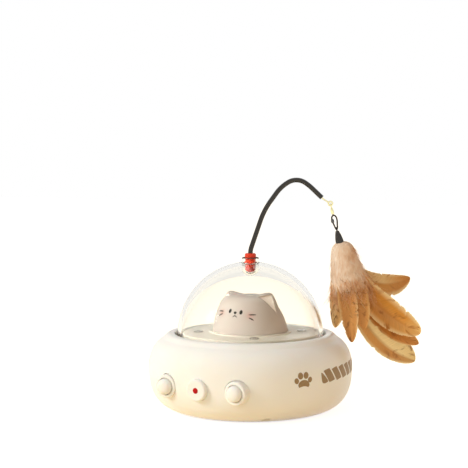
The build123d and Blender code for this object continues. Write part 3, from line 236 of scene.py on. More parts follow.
# polished polycarbonate: clear, light passes to what is under it, and its depth tints it along the rim
domeLook = {
    "low": "#fdfdfa",
    "high": "#fffefb",
    "swirlMm": 25,
    "ripple": 0.04,
    "rippleHeight": 0.0001,
    "ior": 1.4,
    "glint": (0.12, 0.12, 0.12, 1),
    "shadow": (0.95, 0.95, 0.95, 1),
    "smoke": "#d8cdb9",
    "smokeDensity": 38.0,
}
material, tree = newMaterial("dome_polycarbonate_clear")
place = addNode(tree, "TexCoord").outputs["Object"]
swirl = addNode(tree, "TexNoise", Vector=place, Scale=1000 / domeLook["swirlMm"], Detail=2.0)
melt = addNode(tree, "ValToRGB", {"stops": [(0.3, domeLook["low"]), (0.7, domeLook["high"])]}, Fac=swirl)
ripple = addNode(tree, "Bump", Strength=domeLook["ripple"], Distance=domeLook["rippleHeight"], Height=swirl)
glass = addNode(
    tree, "BsdfPrincipled", Base_Color=melt, Roughness=0.0, Normal=ripple, IOR=domeLook["ior"],
    Specular_Tint=domeLook["glint"], Transmission_Weight=1.0,
)
through = addNode(tree, "BsdfTransparent", Color=domeLook["shadow"])
rays = addNode(tree, "LightPath")
domeShader = addNode(tree, "MixShader", Fac=rays.outputs["Is Shadow Ray"], i1=glass, i2=through)
smoke = addNode(tree, "VolumeAbsorption", Color=linear(domeLook["smoke"]), Density=domeLook["smokeDensity"])
addNode(tree, "OutputMaterial", Surface=domeShader, Volume=smoke)
dress(material, "dome")

# dyed acrylic window; its faint emission is a painted glow standing in for the diode's light behind it
windowLook = {
    "low": "#8c0508",
    "high": "#bd0a0e",
    "speckMm": 0.8,
    "roughness": 0.4,
    "shine": 0.2,
    # painted glow: the window surface itself emits, no lamp lights it
    "glow": "#e01010",
    "glowStrength": 0.12,
}
material, tree = newMaterial("window_acrylic_red")
place = addNode(tree, "TexCoord").outputs["Object"]
speck = addNode(tree, "TexNoise", Vector=place, Scale=1000 / windowLook["speckMm"], Detail=2.0)
tone = addNode(tree, "ValToRGB", {"stops": [(0.3, windowLook["low"]), (0.7, windowLook["high"])]}, Fac=speck)
shader = addNode(
    tree, "BsdfPrincipled", Base_Color=tone, Roughness=windowLook["roughness"],
    Specular_IOR_Level=windowLook["shine"], Emission_Color=linear(windowLook["glow"]),
    Emission_Strength=windowLook["glowStrength"],
)
addNode(tree, "OutputMaterial", Surface=shader)
dress(material, "laser_window")
print("finishes made")


# small tools for new pieces, all places in millimetres
def putInScene(thing):
    bpy.context.scene.collection.objects.link(thing)


def wrapGrid(columns, rows, place):
    mesh = bmesh.new()
    bmesh.ops.create_grid(mesh, x_segments=columns, y_segments=rows, size=0.5)
    shares = mesh.loops.layers.uv.new("share")
    for face in mesh.faces:
        for loop in face.loops:
            loop[shares].uv = (loop.vert.co.x + 0.5, loop.vert.co.y + 0.5)
    for vert in mesh.verts:
        vert.co = Vector(place(vert.co.x + 0.5, vert.co.y + 0.5)) * mm
    bmesh.ops.remove_doubles(mesh, verts=mesh.verts, dist=1e-7)
    return mesh


def alongRoute(points, share):
    spot = min(max(share, 0.0), 1.0) * (len(points) - 1)
    i = min(int(spot), len(points) - 2)
    f = spot - i
    a, b, c, d = (Vector(points[min(max(k, 0), len(points) - 1)]) for k in (i - 1, i, i + 1, i + 2))
    return 0.5 * (2 * b + (c - a) * f + (2 * a - 5 * b + 4 * c - d) * f**2 + (3 * b - a - 3 * c + d) * f**3)


def ease(low, high, value):
    share = min(max((value - low) / (high - low), 0.0), 1.0)
    return share * share * (3 - 2 * share)


def addPiece(name, mesh, material, body, replaced=()):
    data = bpy.data.meshes.new(name)
    mesh.to_mesh(data)
    mesh.free()
    data.materials.append(material)
    data.shade_smooth()
    piece = bpy.data.objects.new(name, data)
    putInScene(piece)
    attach(piece, body)
    if replaced:
        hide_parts(*replaced)


def addShape(name, grid, place, material, body, replaced=()):  # a closed form, its faces turned outward
    mesh = wrapGrid(*grid, place)
    bmesh.ops.recalc_face_normals(mesh, faces=mesh.faces)
    addPiece(name, mesh, material, body, replaced)


# head: bell that is fuller in front than behind, with two pulled ears
head = {
    "grid": (300, 120),
    "front": [
        (19.3, 40.9), (20.4, 41.9), (19.9, 45), (18.9, 50), (17.4, 54.6),
        (15.4, 58.4), (12.4, 60.8), (7, 61.5), (0, 61.5),
    ],
    "rear": [
        (19.3, 40.9), (20.3, 41.9), (19.6, 45), (17.9, 49.6), (15.7, 53.6),
        (13.1, 57.2), (10, 59.8), (5.6, 61.2), (0, 61.5),
    ],
    "turnOver": 0.6,  # how gradually the rear outline becomes the front one
    "earTip": (12.9, -0.6, 62.9),
    "earRoot": (11.6, -0.6, 58.6),
    "earPull": 3.7,
    "earReach": 8.0,
    "earRound": 0.4,
    "earSteep": 1.5,
    "earFace": [(8.5, -6.6, 60.6), (13.6, -1.4, 61.7), (18.4, -3.6, 52.4)],
    "earSunk": 0.25,
    "earLip": 0.35,
    "earCutFrom": -1.5,
    "innerEar": (-0.1, 0.5),
    "innerBand": 0.6,
    "cheeks": [(-26, 52.6), (28, 51.9)],
    "cheekWide": 6.5,
    "cheekHigh": 1.7,
}
earCorners = [Vector(corner) for corner in head["earFace"]]
earNormal = (earCorners[2] - earCorners[0]).cross(earCorners[1] - earCorners[0]).normalized()


def insideEar(point):  # distance in mm inside the ear's triangular face, below 0 outside it
    gaps = []
    for i in range(3):
        edge = earCorners[(i + 1) % 3] - earCorners[i]
        inward = earNormal.cross(edge).normalized()
        if (earCorners[(i + 2) % 3] - earCorners[i]).dot(inward) < 0:
            inward = -inward
        gaps.append((point - earCorners[i]).dot(inward))
    return min(gaps)


def headPlace(share, rise):
    angle = share * math.tau
    way = Vector((math.cos(angle), math.sin(angle)))
    fullness = ease(-head["turnOver"], head["turnOver"], -way.y)
    section = alongRoute(head["rear"], rise).lerp(alongRoute(head["front"], rise), fullness)
    point = Vector((way.x * section[0], way.y * section[0], section[1]))
    side = 1 if point.x > 0 else -1
    point.x *= side
    tip, root = Vector(head["earTip"]), Vector(head["earRoot"])
    near = (point - root).length
    pull = max(0.0, 1 - math.sqrt(near * near + head["earRound"]) / head["earReach"]) ** head["earSteep"]
    point += (tip - root).normalized() * pull * head["earPull"]
    proud = (point - earCorners[1]).dot(earNormal)
    cut = ease(-head["earLip"], head["earLip"], insideEar(point))
    if proud > head["earCutFrom"]:
        point -= earNormal * (proud + head["earSunk"]) * cut
    point.x *= side
    return point


# matt moulded ABS, with the ears' inner faces pale and the cheeks flushed
headLook = {
    "low": "#c1b7b0",
    "high": "#c9bfb8",
    "cloudMm": 18,
    "grainMm": 0.4,
    "gloss": (0.46, 0.56),
    "relief": 0.12,
    "depth": 0.08,
    "innerEar": "#fff6ee",
    "blush": "#c4786a",
    "blushShare": 0.42,
}
material, tree = newMaterial("head_abs_matt_grey")
place = addNode(tree, "TexCoord").outputs["Object"]
cloud = addNode(tree, "TexNoise", Vector=place, Scale=1000 / headLook["cloudMm"], Detail=3.0)
tone = addNode(tree, "ValToRGB", {"stops": [(0.35, headLook["low"]), (0.65, headLook["high"])]}, Fac=cloud)
grain = addNode(tree, "TexNoise", Vector=place, Scale=1000 / headLook["grainMm"], Detail=2.0)
inner = addNode(tree, "Attribute", {"attribute_name": "innerEar"})
blush = addNode(tree, "Attribute", {"attribute_name": "blush"})
mixed = {"data_type": "RGBA"}
paleEar = linear(headLook["innerEar"])
withEar = addNode(tree, "Mix", mixed, inner.outputs["Fac"], i6=tone, i7=paleEar).outputs[2]
flush = addNode(tree, "Math", {"operation": "MULTIPLY"}, blush.outputs["Fac"], headLook["blushShare"])
withBlush = addNode(tree, "Mix", mixed, flush, i6=withEar, i7=linear(headLook["blush"])).outputs[2]
gloss = addNode(tree, "MapRange", {}, grain, 0, 1, *headLook["gloss"])
relief = addNode(tree, "Bump", Strength=headLook["relief"], Distance=plastic["grainHeight"], Height=grain)
shader = addNode(
    tree, "BsdfPrincipled", Base_Color=withBlush, Roughness=gloss, Normal=relief,
    Subsurface_Weight=headLook["depth"], Subsurface_Scale=plastic["scatter"],
)
addNode(tree, "OutputMaterial", Surface=shader)

mesh = wrapGrid(*head["grid"], headPlace)
bmesh.ops.recalc_face_normals(mesh, faces=mesh.faces)
innerLayer = mesh.verts.layers.float.new("innerEar")
blushLayer = mesh.verts.layers.float.new("blush")
for vert in mesh.verts:
    point = vert.co / mm
    mirrored = Vector((abs(point.x), point.y, point.z))
    off = (mirrored - earCorners[1]).dot(earNormal) + head["earSunk"]
    vert[innerLayer] = ease(*head["innerEar"], insideEar(mirrored)) if abs(off) < head["innerBand"] else 0.0
    turned = math.degrees(math.atan2(point.x, -point.y))
    vert[blushLayer] = max(
        math.exp(-(((turned - angle) / head["cheekWide"]) ** 2) - ((point.z - z) / head["cheekHigh"]) ** 2)
        for angle, z in head["cheeks"]
    )
headTree = BVHTree.FromBMesh(mesh)
addPiece("head_bell", mesh, material, "base", ["cat_head"])
print("head shaped")

# prints: thin ink laid on the curved surface it is seen on
shellTree = BVHTree.FromPolygons(
    [vert.co.copy() for vert in nodes["upper_housing"].data.vertices],
    [list(face.vertices) for face in nodes["upper_housing"].data.polygons],
)
ink = {
    "lift": 0.04,
    "castFrom": 80,
    "spotGrid": (12, 12),
    "strokeGrid": (3, 14),
    "strokeEnds": 0.45,
    "strokeSwell": 0.55,
    "strokeTaper": (0.08, 0.92),
    "thinMm": 1.2,
    "glossSpread": 0.05,
}
shellRadius = 55.0
headRadius = 18.0


def ontoSurface(tree, radius, angle, z, across, up):
    turned = math.radians(angle) + across / radius
    way = Vector((math.sin(turned), -math.cos(turned), 0))
    start = (way * ink["castFrom"] + Vector((0, 0, z + up))) * mm
    hit, normal = tree.ray_cast(start, -way)[:2]
    return (hit + normal * ink["lift"] * mm) / mm


def inkSpot(tree, radius, mark):  # rounded patch, leaning, with a softened square outline
    lean = math.radians(mark.get("lean", 0))
    corner = mark.get("corner", 1.0)
    pinch = mark.get("pinch", 0.0)
    dent = mark.get("dent", 0.0)

    def spot(share, rise):
        s, t = 2 * share - 1, 2 * rise - 1
        x = s * (1 - corner + corner * math.sqrt(1 - t * t / 2)) * mark["wide"] / 2 * (1 - pinch * t)
        y = t * (1 - corner + corner * math.sqrt(1 - s * s / 2)) * mark["high"] / 2
        y -= dent * (1 - s * s) * (1 - t) / 2
        shear = mark.get("shear", 0.0) * y
        sideways = x * math.cos(lean) - y * math.sin(lean) + shear
        turned = Vector((sideways, x * math.sin(lean) + y * math.cos(lean)))
        return ontoSurface(tree, radius, mark["angle"], mark["z"], turned.x, turned.y)

    return wrapGrid(*ink["spotGrid"], spot)


def inkStroke(tree, radius, mark):  # tapered line through a few (across, up) points
    route = mark["route"]
    step = 0.05

    def stroke(share, rise):
        spot = alongRoute(route, rise)
        ahead = alongRoute(route, min(rise + step, 1.0)) - alongRoute(route, max(rise - step, 0.0))
        tapered = min(max(rise, ink["strokeTaper"][0]), ink["strokeTaper"][1])
        thick = mark["thick"] * (ink["strokeEnds"] + ink["strokeSwell"] * math.sin(math.pi * tapered))
        sideways = Vector((-ahead.y, ahead.x)).normalized() * (share - 0.5) * thick
        return ontoSurface(tree, radius, mark["angle"], mark["z"], spot[0] + sideways.x, spot[1] + sideways.y)

    return wrapGrid(*ink["strokeGrid"], stroke)


# pad-printed ink: even, with the slight thinning that a soft pad leaves
def padInk(name, low, high, shine):
    material, tree = newMaterial(name)
    place = addNode(tree, "TexCoord").outputs["Object"]
    thin = addNode(tree, "TexNoise", Vector=place, Scale=1000 / ink["thinMm"], Detail=4.0)
    tone = addNode(tree, "ValToRGB", {"stops": [(0.3, low), (0.7, high)]}, Fac=thin)
    gloss = addNode(tree, "MapRange", {}, thin, 0, 1, shine - ink["glossSpread"], shine + ink["glossSpread"])
    shader = addNode(tree, "BsdfPrincipled", Base_Color=tone, Roughness=gloss)
    addNode(tree, "OutputMaterial", Surface=shader)
    return material


faceInk = padInk("print_ink_black", "#0f0c0a", "#191411", 0.6)
bodyInk = padInk("print_ink_brown", "#92754f", "#9f8259", 0.45)


def addPrint(name, tree, radius, marks, material):
    whole = bmesh.new()
    for mark in marks:
        part = inkStroke(tree, radius, mark) if "route" in mark else inkSpot(tree, radius, mark)
        held = bpy.data.meshes.new("part")
        part.to_mesh(held)
        part.free()
        whole.from_mesh(held)
        bpy.data.meshes.remove(held)
    bmesh.ops.recalc_face_normals(whole, faces=whole.faces)
    for face in whole.faces:
        centre = face.calc_center_median()
        if face.normal.dot(Vector((centre.x, centre.y, 0))) < 0:
            face.normal_flip()
    addPiece(name, whole, material, "base")


faceAngle = 2.7
face = [
    {"angle": faceAngle - 10.4, "z": 53.9, "wide": 1.7, "high": 2.3, "lean": -14},
    {"angle": faceAngle + 10.4, "z": 53.5, "wide": 1.7, "high": 2.3, "lean": -14},
    {"angle": faceAngle, "z": 53.1, "wide": 1.6, "high": 1.4, "corner": 0.95, "pinch": -0.25},
    {
        "angle": faceAngle,
        "z": 51.3,
        "thick": 0.5,
        "route": [(-1.2, -0.5), (-0.7, 0.0), (0.0, 0.35), (0.7, 0.0), (1.2, -0.55)],
    },
    {"angle": 26.5, "z": 52.3, "thick": 0.62, "route": [(0, 0), (1.8, 0.05), (3.7, 0.0)]},
    {"angle": 26.5, "z": 50.8, "thick": 0.62, "route": [(0, 0), (1.3, -0.6), (2.4, -1.3)]},
    {"angle": -23.5, "z": 53.4, "thick": 0.62, "route": [(0, 0), (-1.8, -0.05), (-4.2, -0.3)]},
    {"angle": -23.5, "z": 52.2, "thick": 0.62, "route": [(0, 0), (-1.6, -0.7), (-3.2, -1.5)]},
]
addPrint("print_face", headTree, headRadius, face, faceInk)

paw = {
    "angle": 58.4,
    "toesZ": 22.8,
    "toes": [  # across, up, wide, high, lean
        (-4.2, 0.2, 2.5, 3.0, 16),
        (-1.95, 2.65, 3.0, 3.45, 6),
        (1.3, 2.7, 2.9, 3.45, -6),
        (3.6, 0.4, 2.5, 2.9, -16),
    ],
    "pad": {"z": 21.1, "wide": 6.5, "high": 4.4, "corner": 0.95, "pinch": 0.12, "dent": -1.2},
}
for name, side in (("print_paw_right", 1), ("print_paw_left", -1)):
    marks = []
    for x, y, wide, high, lean in paw["toes"]:
        angle = side * (paw["angle"] + math.degrees(x / shellRadius))
        marks.append({"angle": angle, "z": paw["toesZ"] + y, "wide": wide, "high": high, "lean": lean * side})
    marks.append({"angle": side * paw["angle"], **paw["pad"]})
    addPrint(name, shellTree, shellRadius, marks, bodyInk)

# the tail: a rounded tip, then leaning bands that rise slowly towards the back
tail = {
    "tip": {"wide": 3.2, "high": 5.6, "corner": 0.6, "shear": -0.4, "pinch": 0.55, "lean": 8},
    "tipAt": (71.9, 23.0),
    "band": {"wide": 4.9, "high": 6.5, "corner": 0.1, "shear": -0.5, "lean": 11},
    "bands": 12,
    "from": (76.6, 23.9),
    "step": (6.7, 0.2),
}
bands = [{"angle": tail["tipAt"][0], "z": tail["tipAt"][1], **tail["tip"]}]
for i in range(tail["bands"]):
    angle, z = (start + step * i for start, step in zip(tail["from"], tail["step"]))
    bands.append({"angle": angle, "z": z, **tail["band"]})
addPrint("print_tail", shellTree, shellRadius, bands, bodyInk)
print("prints laid")

# push buttons: domed caps on flat-fronted bosses that all face straight ahead
buttons = {
    "across": 20.5,
    "z": 17.7,
    "cap": [
        (4.42, 52.3), (4.4, 52.6), (4.15, 52.9), (4.1, 53.7),
        (3.9, 54.6), (3.2, 55.6), (1.8, 56.3), (0.0, 56.5),
    ],
    "boss": [
        (4.5, 52.65), (4.5, 53.1), (4.7, 53.4), (5.4, 53.4),
        (5.85, 53.1), (6.05, 52.4), (6.1, 50.0), (6.15, 46.5),
    ],
    "capGrid": (72, 28),
    "bossGrid": (72, 36),
}


def facingPlace(route, across):
    def place(share, rise):
        radius, out = alongRoute(route, rise)
        angle = share * math.tau
        return Vector((across + radius * math.cos(angle), -out, buttons["z"] + radius * math.sin(angle)))

    return place


for name, side in (("left_button", -1), ("right_button", 1)):
    capPlace = facingPlace(buttons["cap"], side * buttons["across"])
    bossPlace = facingPlace(buttons["boss"], side * buttons["across"])
    addShape(name + "_cap", buttons["capGrid"], capPlace, shellAbs, name, [name])
    addShape(name + "_boss", buttons["bossGrid"], bossPlace, shellAbs, "base")
print("buttons made")

# socket: thin rubber ring lying on the dome's rim round the plug
socketRing = {"radius": 4.2, "thick": 0.3, "z": 81.15, "grid": (96, 12)}


def ringPlace(share, rise):
    reach = socketRing["radius"] + socketRing["thick"] * math.cos(rise * math.tau)
    up = socketRing["z"] + socketRing["thick"] * math.sin(rise * math.tau)
    return Vector((reach * math.cos(share * math.tau), reach * math.sin(share * math.tau), up))


addShape("socket_ring", socketRing["grid"], ringPlace, sleeveRubber, "turntable")

# lure: feathers and down in the leaning plane under the sleeve
lure = {
    "mouth": (42.244, 23.416, 88.9),
    "right": (0.84935, 0.47080, 0.23853),
    "up": (-0.20863, -0.11565, 0.97113),
    "out": (0.48481, -0.87462, 0.0),
}
lureRight, lureUp, lureOut = Vector(lure["right"]), Vector(lure["up"]), Vector(lure["out"])


def lurePlace(x, y, depth):
    return Vector(lure["mouth"]) + lureRight * x + lureUp * y + lureOut * depth


sleeve = {
    "grid": (168, 40),
    "route": [(2.1, -0.5), (2.15, 0.2), (2.0, 2.2), (1.55, 4.6), (1.1, 6.2), (0.95, 6.9), (0.0, 7.0)],
    "flutes": 14,
    "fluteDepth": 0.05,
    "fluteStart": (0.02, 0.2),
    "fluteEnd": (0.6, 0.8),
}


def sleevePlace(share, rise):
    radius, up = alongRoute(sleeve["route"], rise)
    angle = share * math.tau
    wave = sleeve["fluteDepth"] * math.cos(sleeve["flutes"] * angle)
    radius *= 1 + wave * ease(*sleeve["fluteStart"], rise) * (1 - ease(*sleeve["fluteEnd"], rise))
    return lurePlace(radius * math.cos(angle), up, radius * math.sin(angle))


addShape("sleeve_fluted", sleeve["grid"], sleevePlace, sleeveRubber, "lure")

# snap and swivel: blackened wire loop with a bright catch, under a slim pale barrel
snap = {
    "loop": [
        (0.0, 7.8), (0.6, 8.6), (0.95, 10.4), (1.35, 12.4), (1.3, 14.2), (0.65, 15.4),
        (-0.3, 15.5), (-1.1, 14.6), (-1.25, 13.0), (-0.85, 10.6), (-0.45, 8.6),
    ],
    "stem": [(0.0, 15.4), (0.0, 16.2), (0.0, 17.4)],
    "wire": 0.42,
    "catch": [(0.0, 11.5), (0.55, 11.6), (0.85, 12.2), (0.85, 13.2), (0.55, 13.9), (0.0, 14.0)],
    "catchAt": -1.1,
}
swivel = {
    "barrel": [
        (0.52, 17.2), (0.52, 16.3), (0.62, 16.25), (0.8, 17.0),
        (0.85, 18.4), (0.6, 19.5), (0.4, 20.0), (0.0, 20.1),
    ],
    "eyeRadius": 1.1,
    "eyeUp": 20.88,
    "eyePoints": 12,
    "wire": 0.32,
}
hardwareGrid = (16, 96)
eyeAngles = [i * math.tau / swivel["eyePoints"] for i in range(swivel["eyePoints"])]
eyeRoute = [
    (math.cos(angle) * swivel["eyeRadius"], swivel["eyeUp"] + math.sin(angle) * swivel["eyeRadius"])
    for angle in eyeAngles
]


def wirePlace(route, thick, closed, sideways):  # round wire along a line in the lure's plane or across it
    whole = route[-3:] + route + route[:4] if closed else route
    step = 0.005

    def spotAt(value):
        return alongRoute(whole, (3 + value * len(route)) / (len(whole) - 1) if closed else value)

    def place(share, rise):
        spot = spotAt(rise)
        ahead = spotAt(rise + step) - spotAt(rise - step)
        normal = Vector((-ahead.y, ahead.x)).normalized() * math.cos(share * math.tau) * thick
        depth = math.sin(share * math.tau) * thick
        if sideways:
            return lurePlace(depth, spot.y + normal.y, spot.x + normal.x)
        return lurePlace(spot.x + normal.x, spot.y + normal.y, depth)

    return place


def spunPlace(route, x):
    def place(share, rise):
        radius, up = alongRoute(route, rise)
        return lurePlace(x + radius * math.cos(share * math.tau), up, radius * math.sin(share * math.tau))

    return place


hardware = [
    ("snap_loop", wirePlace(snap["loop"], snap["wire"], True, False), blackWire, "snap", ["snap_clip"]),
    ("snap_stem", wirePlace(snap["stem"], snap["wire"], False, False), blackWire, "snap", []),
    ("snap_catch", spunPlace(snap["catch"], snap["catchAt"]), castIron, "snap", []),
    ("swivel_body", spunPlace(swivel["barrel"], 0.0), paleBrass, "swivel", ["swivel_barrel"]),
    ("swivel_eye", wirePlace(eyeRoute, swivel["wire"], True, True), paleBrass, "swivel", []),
]
for name, place, material, body, replaced in hardware:
    addShape(name, hardwareGrid, place, material, body, replaced)
print("hardware made")

keratin = {
    "fine": 2.5,  # across the vane; along it each feather has its own count of barbs
    "broad": (3, 14, 1),
    "streakSoft": 0.12,
    "tipwardSoft": 0.2,
    "lines": (0.84, 1.14),
    "gloss": (0.4, 0.6),
    "relief": 0.5,
    "reliefHeight": 0.0001,
    "sheen": 0.25,
    "sheenTint": "#ffcf92",
    "glow": 0.22,
    "frayFrom": 0.36,
    "fray": 0.52,
    "looseTo": 0.22,
    "loose": 0.3,
}


# keratin barbs lie close and slanted to the shaft, so tone and gloss run in fine slanted lines
def featherVane(name, look):
    material, tree = newMaterial(name)
    share = addNode(tree, "UVMap", {"uv_map": "share"})
    spread = addNode(tree, "SeparateXYZ", Vector=share)
    along = spread.outputs["Y"]
    offset = addNode(tree, "Math", {"operation": "SUBTRACT"}, spread.outputs["X"], 0.5)
    side = addNode(tree, "Math", {"operation": "ABSOLUTE"}, offset)
    slant = addNode(tree, "Math", {"operation": "MULTIPLY"}, side, -look["slant"])
    barb = addNode(tree, "Math", {"operation": "ADD"}, along, slant)
    barbPlace = addNode(tree, "CombineXYZ", X=offset, Y=barb, Z=look["seed"])
    fineScale = addNode(tree, "Mapping", Vector=barbPlace, Scale=(keratin["fine"], look["barbs"], 1))
    fine = addNode(tree, "TexNoise", Vector=fineScale, Scale=1.0, Detail=3.0, Roughness=0.6)
    broadScale = addNode(tree, "Mapping", Vector=barbPlace, Scale=keratin["broad"])
    broad = addNode(tree, "TexNoise", Vector=broadScale, Scale=1.0, Detail=4.0, Distortion=0.4)
    lowHalf = addNode(tree, "ValToRGB", {"stops": look["low"]}, along)
    highHalf = addNode(tree, "ValToRGB", {"stops": look["high"]}, along)
    half = addNode(tree, "MapRange", {}, offset, -0.05, 0.05)
    mixed = {"data_type": "RGBA"}
    length = addNode(tree, "Mix", mixed, half, i6=lowHalf, i7=highHalf).outputs[2]
    # paler towards both rims: partly the thinner barb tips' own tone, partly a painted highlight where the
    # curled rims catch the light
    edge = addNode(tree, "MapRange", {}, side, look["edgeFrom"], 0.5)
    paled = addNode(tree, "Mix", mixed, edge, i6=length, i7=linear(look["edge"])).outputs[2]
    streakTo = look["mottleFrom"] + keratin["streakSoft"]
    streak = addNode(tree, "MapRange", {}, broad, look["mottleFrom"], streakTo)
    tipwardTo = look["mottleAlong"] + keratin["tipwardSoft"]
    tipward = addNode(tree, "MapRange", {}, along, look["mottleAlong"], tipwardTo)
    mottled = addNode(tree, "Math", {"operation": "MULTIPLY"}, streak, tipward)
    browned = addNode(tree, "Mix", mixed, mottled, i6=paled, i7=linear(look["mottle"])).outputs[2]
    lines = addNode(tree, "MapRange", {}, fine, 0.3, 0.7, *keratin["lines"])
    toned = addNode(tree, "VectorMath", {"operation": "SCALE"}, browned, Scale=lines)
    gloss = addNode(tree, "MapRange", {}, fine, 0, 1, *keratin["gloss"])
    relief = addNode(tree, "Bump", Strength=keratin["relief"], Distance=keratin["reliefHeight"], Height=fine)
    surface = addNode(
        tree, "BsdfPrincipled", Base_Color=toned, Roughness=gloss, Normal=relief,
        Sheen_Weight=keratin["sheen"], Sheen_Roughness=0.4, Sheen_Tint=linear(keratin["sheenTint"]),
    )
    glow = addNode(tree, "BsdfTranslucent", Color=toned)
    blade = addNode(tree, "MixShader", Fac=keratin["glow"], i1=surface, i2=glow)
    frayed = addNode(tree, "MapRange", {}, side, keratin["frayFrom"], 0.5, 0, keratin["fray"])
    loose = addNode(tree, "MapRange", {}, along, 0, keratin["looseTo"], keratin["loose"], 0)
    broken = addNode(tree, "Math", {"operation": "MAXIMUM"}, frayed, loose)
    gap = addNode(tree, "Math", {"operation": "LESS_THAN"}, fine, broken)
    clear = addNode(tree, "BsdfTransparent")
    cutOut = addNode(tree, "MixShader", Fac=gap, i1=blade, i2=clear)
    addNode(tree, "OutputMaterial", Surface=cutOut)
    return material


# root, tip and bow lie in the lure's plane; half is the reach below and above the shaft
feathers = {
    "feather_upper": {
        "quill": 1.0, "tip": (32.7, -27.6), "bow": (5.3, -34.5), "half": (7.0, 6.2),
        "blunt": 0.6, "belly": 1.5, "lean": 10, "cup": 0.5, "curl": 1.0,
        "slant": 0.22, "barbs": 170, "seed": 1,
        "low": [(0.0, "#dcae78"), (0.6, "#cf9650"), (1.0, "#b06e2f")],
        "high": [(0.0, "#e0b684"), (0.6, "#e6c48a"), (0.9, "#c98a47"), (1.0, "#b3732f")],
        "edge": "#f0d39c", "edgeFrom": 0.3, "mottle": "#b5783c", "mottleFrom": 0.6, "mottleAlong": 0.2,
    },
    "feather_golden": {
        "quill": 0.7, "tip": (30.2, -56.4), "bow": (2.9, -38.0), "half": (7.2, 8.2),
        "blunt": 0.5, "belly": 1.4, "lean": -5, "cup": 1.5, "curl": 3.0,
        "slant": 0.2, "barbs": 220, "seed": 2,
        "low": [(0.0, "#dcab74"), (0.5, "#d79a50"), (1.0, "#dba961")],
        "high": [(0.0, "#e3b47c"), (0.45, "#da9842"), (0.8, "#d79644"), (1.0, "#e9c17a")],
        "edge": "#fae2ad", "edgeFrom": 0.3, "mottle": "#b77634", "mottleFrom": 0.56, "mottleAlong": 0.3,
    },
    "feather_large": {
        "quill": 0.35, "tip": (25.0, -72.2), "bow": (-6.35, -56.0), "half": (5.4, 12.0),
        "blunt": 0.5, "belly": 1.5, "lean": 5, "cup": 0.5, "curl": 2.5,
        "slant": 0.2, "barbs": 260, "seed": 3,
        "low": [(0.0, "#dcae7c"), (0.5, "#d69a50"), (0.8, "#c48a4a"), (1.0, "#cfa264")],
        "high": [(0.0, "#dcae80"), (0.45, "#eccf94"), (0.85, "#f0d59a"), (1.0, "#e6c585")],
        "edge": "#f3dba4", "edgeFrom": 0.3, "mottle": "#93592a", "mottleFrom": 0.54, "mottleAlong": 0.62,
    },
    "feather_middle": {
        "quill": 0.0, "tip": (1.6, -47.5), "bow": (1.2, -24.0), "half": (6.6, 6.6),
        "blunt": 0.6, "belly": 1.1, "lean": -10, "cup": 0.5, "curl": 1.0,
        "slant": 0.2, "barbs": 230, "seed": 4,
        "low": [(0.0, "#e2b586"), (0.5, "#dba05a"), (1.0, "#d1914b")],
        "high": [(0.0, "#e4b788"), (0.5, "#dda35c"), (1.0, "#d4954e")],
        "edge": "#e4ba78", "edgeFrom": 0.36, "mottle": "#a9692f", "mottleFrom": 0.56, "mottleAlong": 0.2,
    },
    "feather_inner": {
        "quill": -1.0, "tip": (-6.8, -53.0), "bow": (-2.0, -27.0), "half": (4.9, 5.4),
        "blunt": 0.55, "belly": 1.1, "lean": -12, "cup": 0.5, "curl": 0.4,
        "slant": 0.24, "barbs": 200, "seed": 5,
        "low": [(0.0, "#e0b386"), (0.5, "#cf9452"), (1.0, "#c18444")],
        "high": [(0.0, "#e4b98a"), (0.5, "#dca15c"), (1.0, "#cb8c48")],
        "edge": "#ecca90", "edgeFrom": 0.34, "mottle": "#8e5a2a", "mottleFrom": 0.56, "mottleAlong": 0.3,
    },
    "feather_left": {
        "quill": -0.7, "tip": (-12.9, -46.8), "bow": (-3.9, -22.5), "half": (4.6, 5.6),
        "blunt": 0.6, "belly": 1.2, "lean": 15, "cup": 0.5, "curl": 1.0,
        "slant": 0.24, "barbs": 180, "seed": 6,
        "low": [(0.0, "#f0d0aa"), (0.6, "#efcd98"), (1.0, "#e4be82")],
        "high": [(0.0, "#f0d0aa"), (0.6, "#e6b97c"), (1.0, "#d4a466")],
        "edge": "#f4daa6", "edgeFrom": 0.3, "mottle": "#8e5f30", "mottleFrom": 0.52, "mottleAlong": 0.2,
    },
    "feather_front": {
        "quill": -0.35, "tip": (28.4, -62.6), "bow": (2.4, -43.0), "half": (5.4, 6.0),
        "blunt": 0.6, "belly": 1.5, "lean": 0, "cup": 0.7, "curl": 2.0,
        "slant": 0.2, "barbs": 230, "seed": 7,
        "low": [(0.0, "#d8aa78"), (0.5, "#d08f45"), (1.0, "#c98843")],
        "high": [(0.0, "#dcae7c"), (0.5, "#cd8c42"), (1.0, "#d1934d")],
        "edge": "#eec88a", "edgeFrom": 0.36, "mottle": "#a3642b", "mottleFrom": 0.57, "mottleAlong": 0.4,
    },
}
plume = {  # shared by every vane and shaft
    "vaneGrid": (28, 110),
    "shaftGrid": (8, 60),
    "vaneFrom": 0.2,
    "leastHalf": 0.15,
    "trim": 0.985,
    "sweep": 0.06,
    "sweepSteep": 1.5,
    "cupLevel": 0.3,
    "cupShare": 0.55,
    "wave": 0.7,
    "waveScale": (1.5, 3.5, 7.0),  # across, along and from feather to feather
    "notches": 6,
    "notchWidth": 0.012,
    "notchSlant": 0.05,
    "shaftRoot": -0.03,
    "shaftReach": 1.01,
    "shaftThick": 0.34,
    "shaftTaper": 0.8,
    "shaftEnd": 0.06,
    "shaftHidden": 0.35,
    "shaftHiddenFrom": 0.3,
}
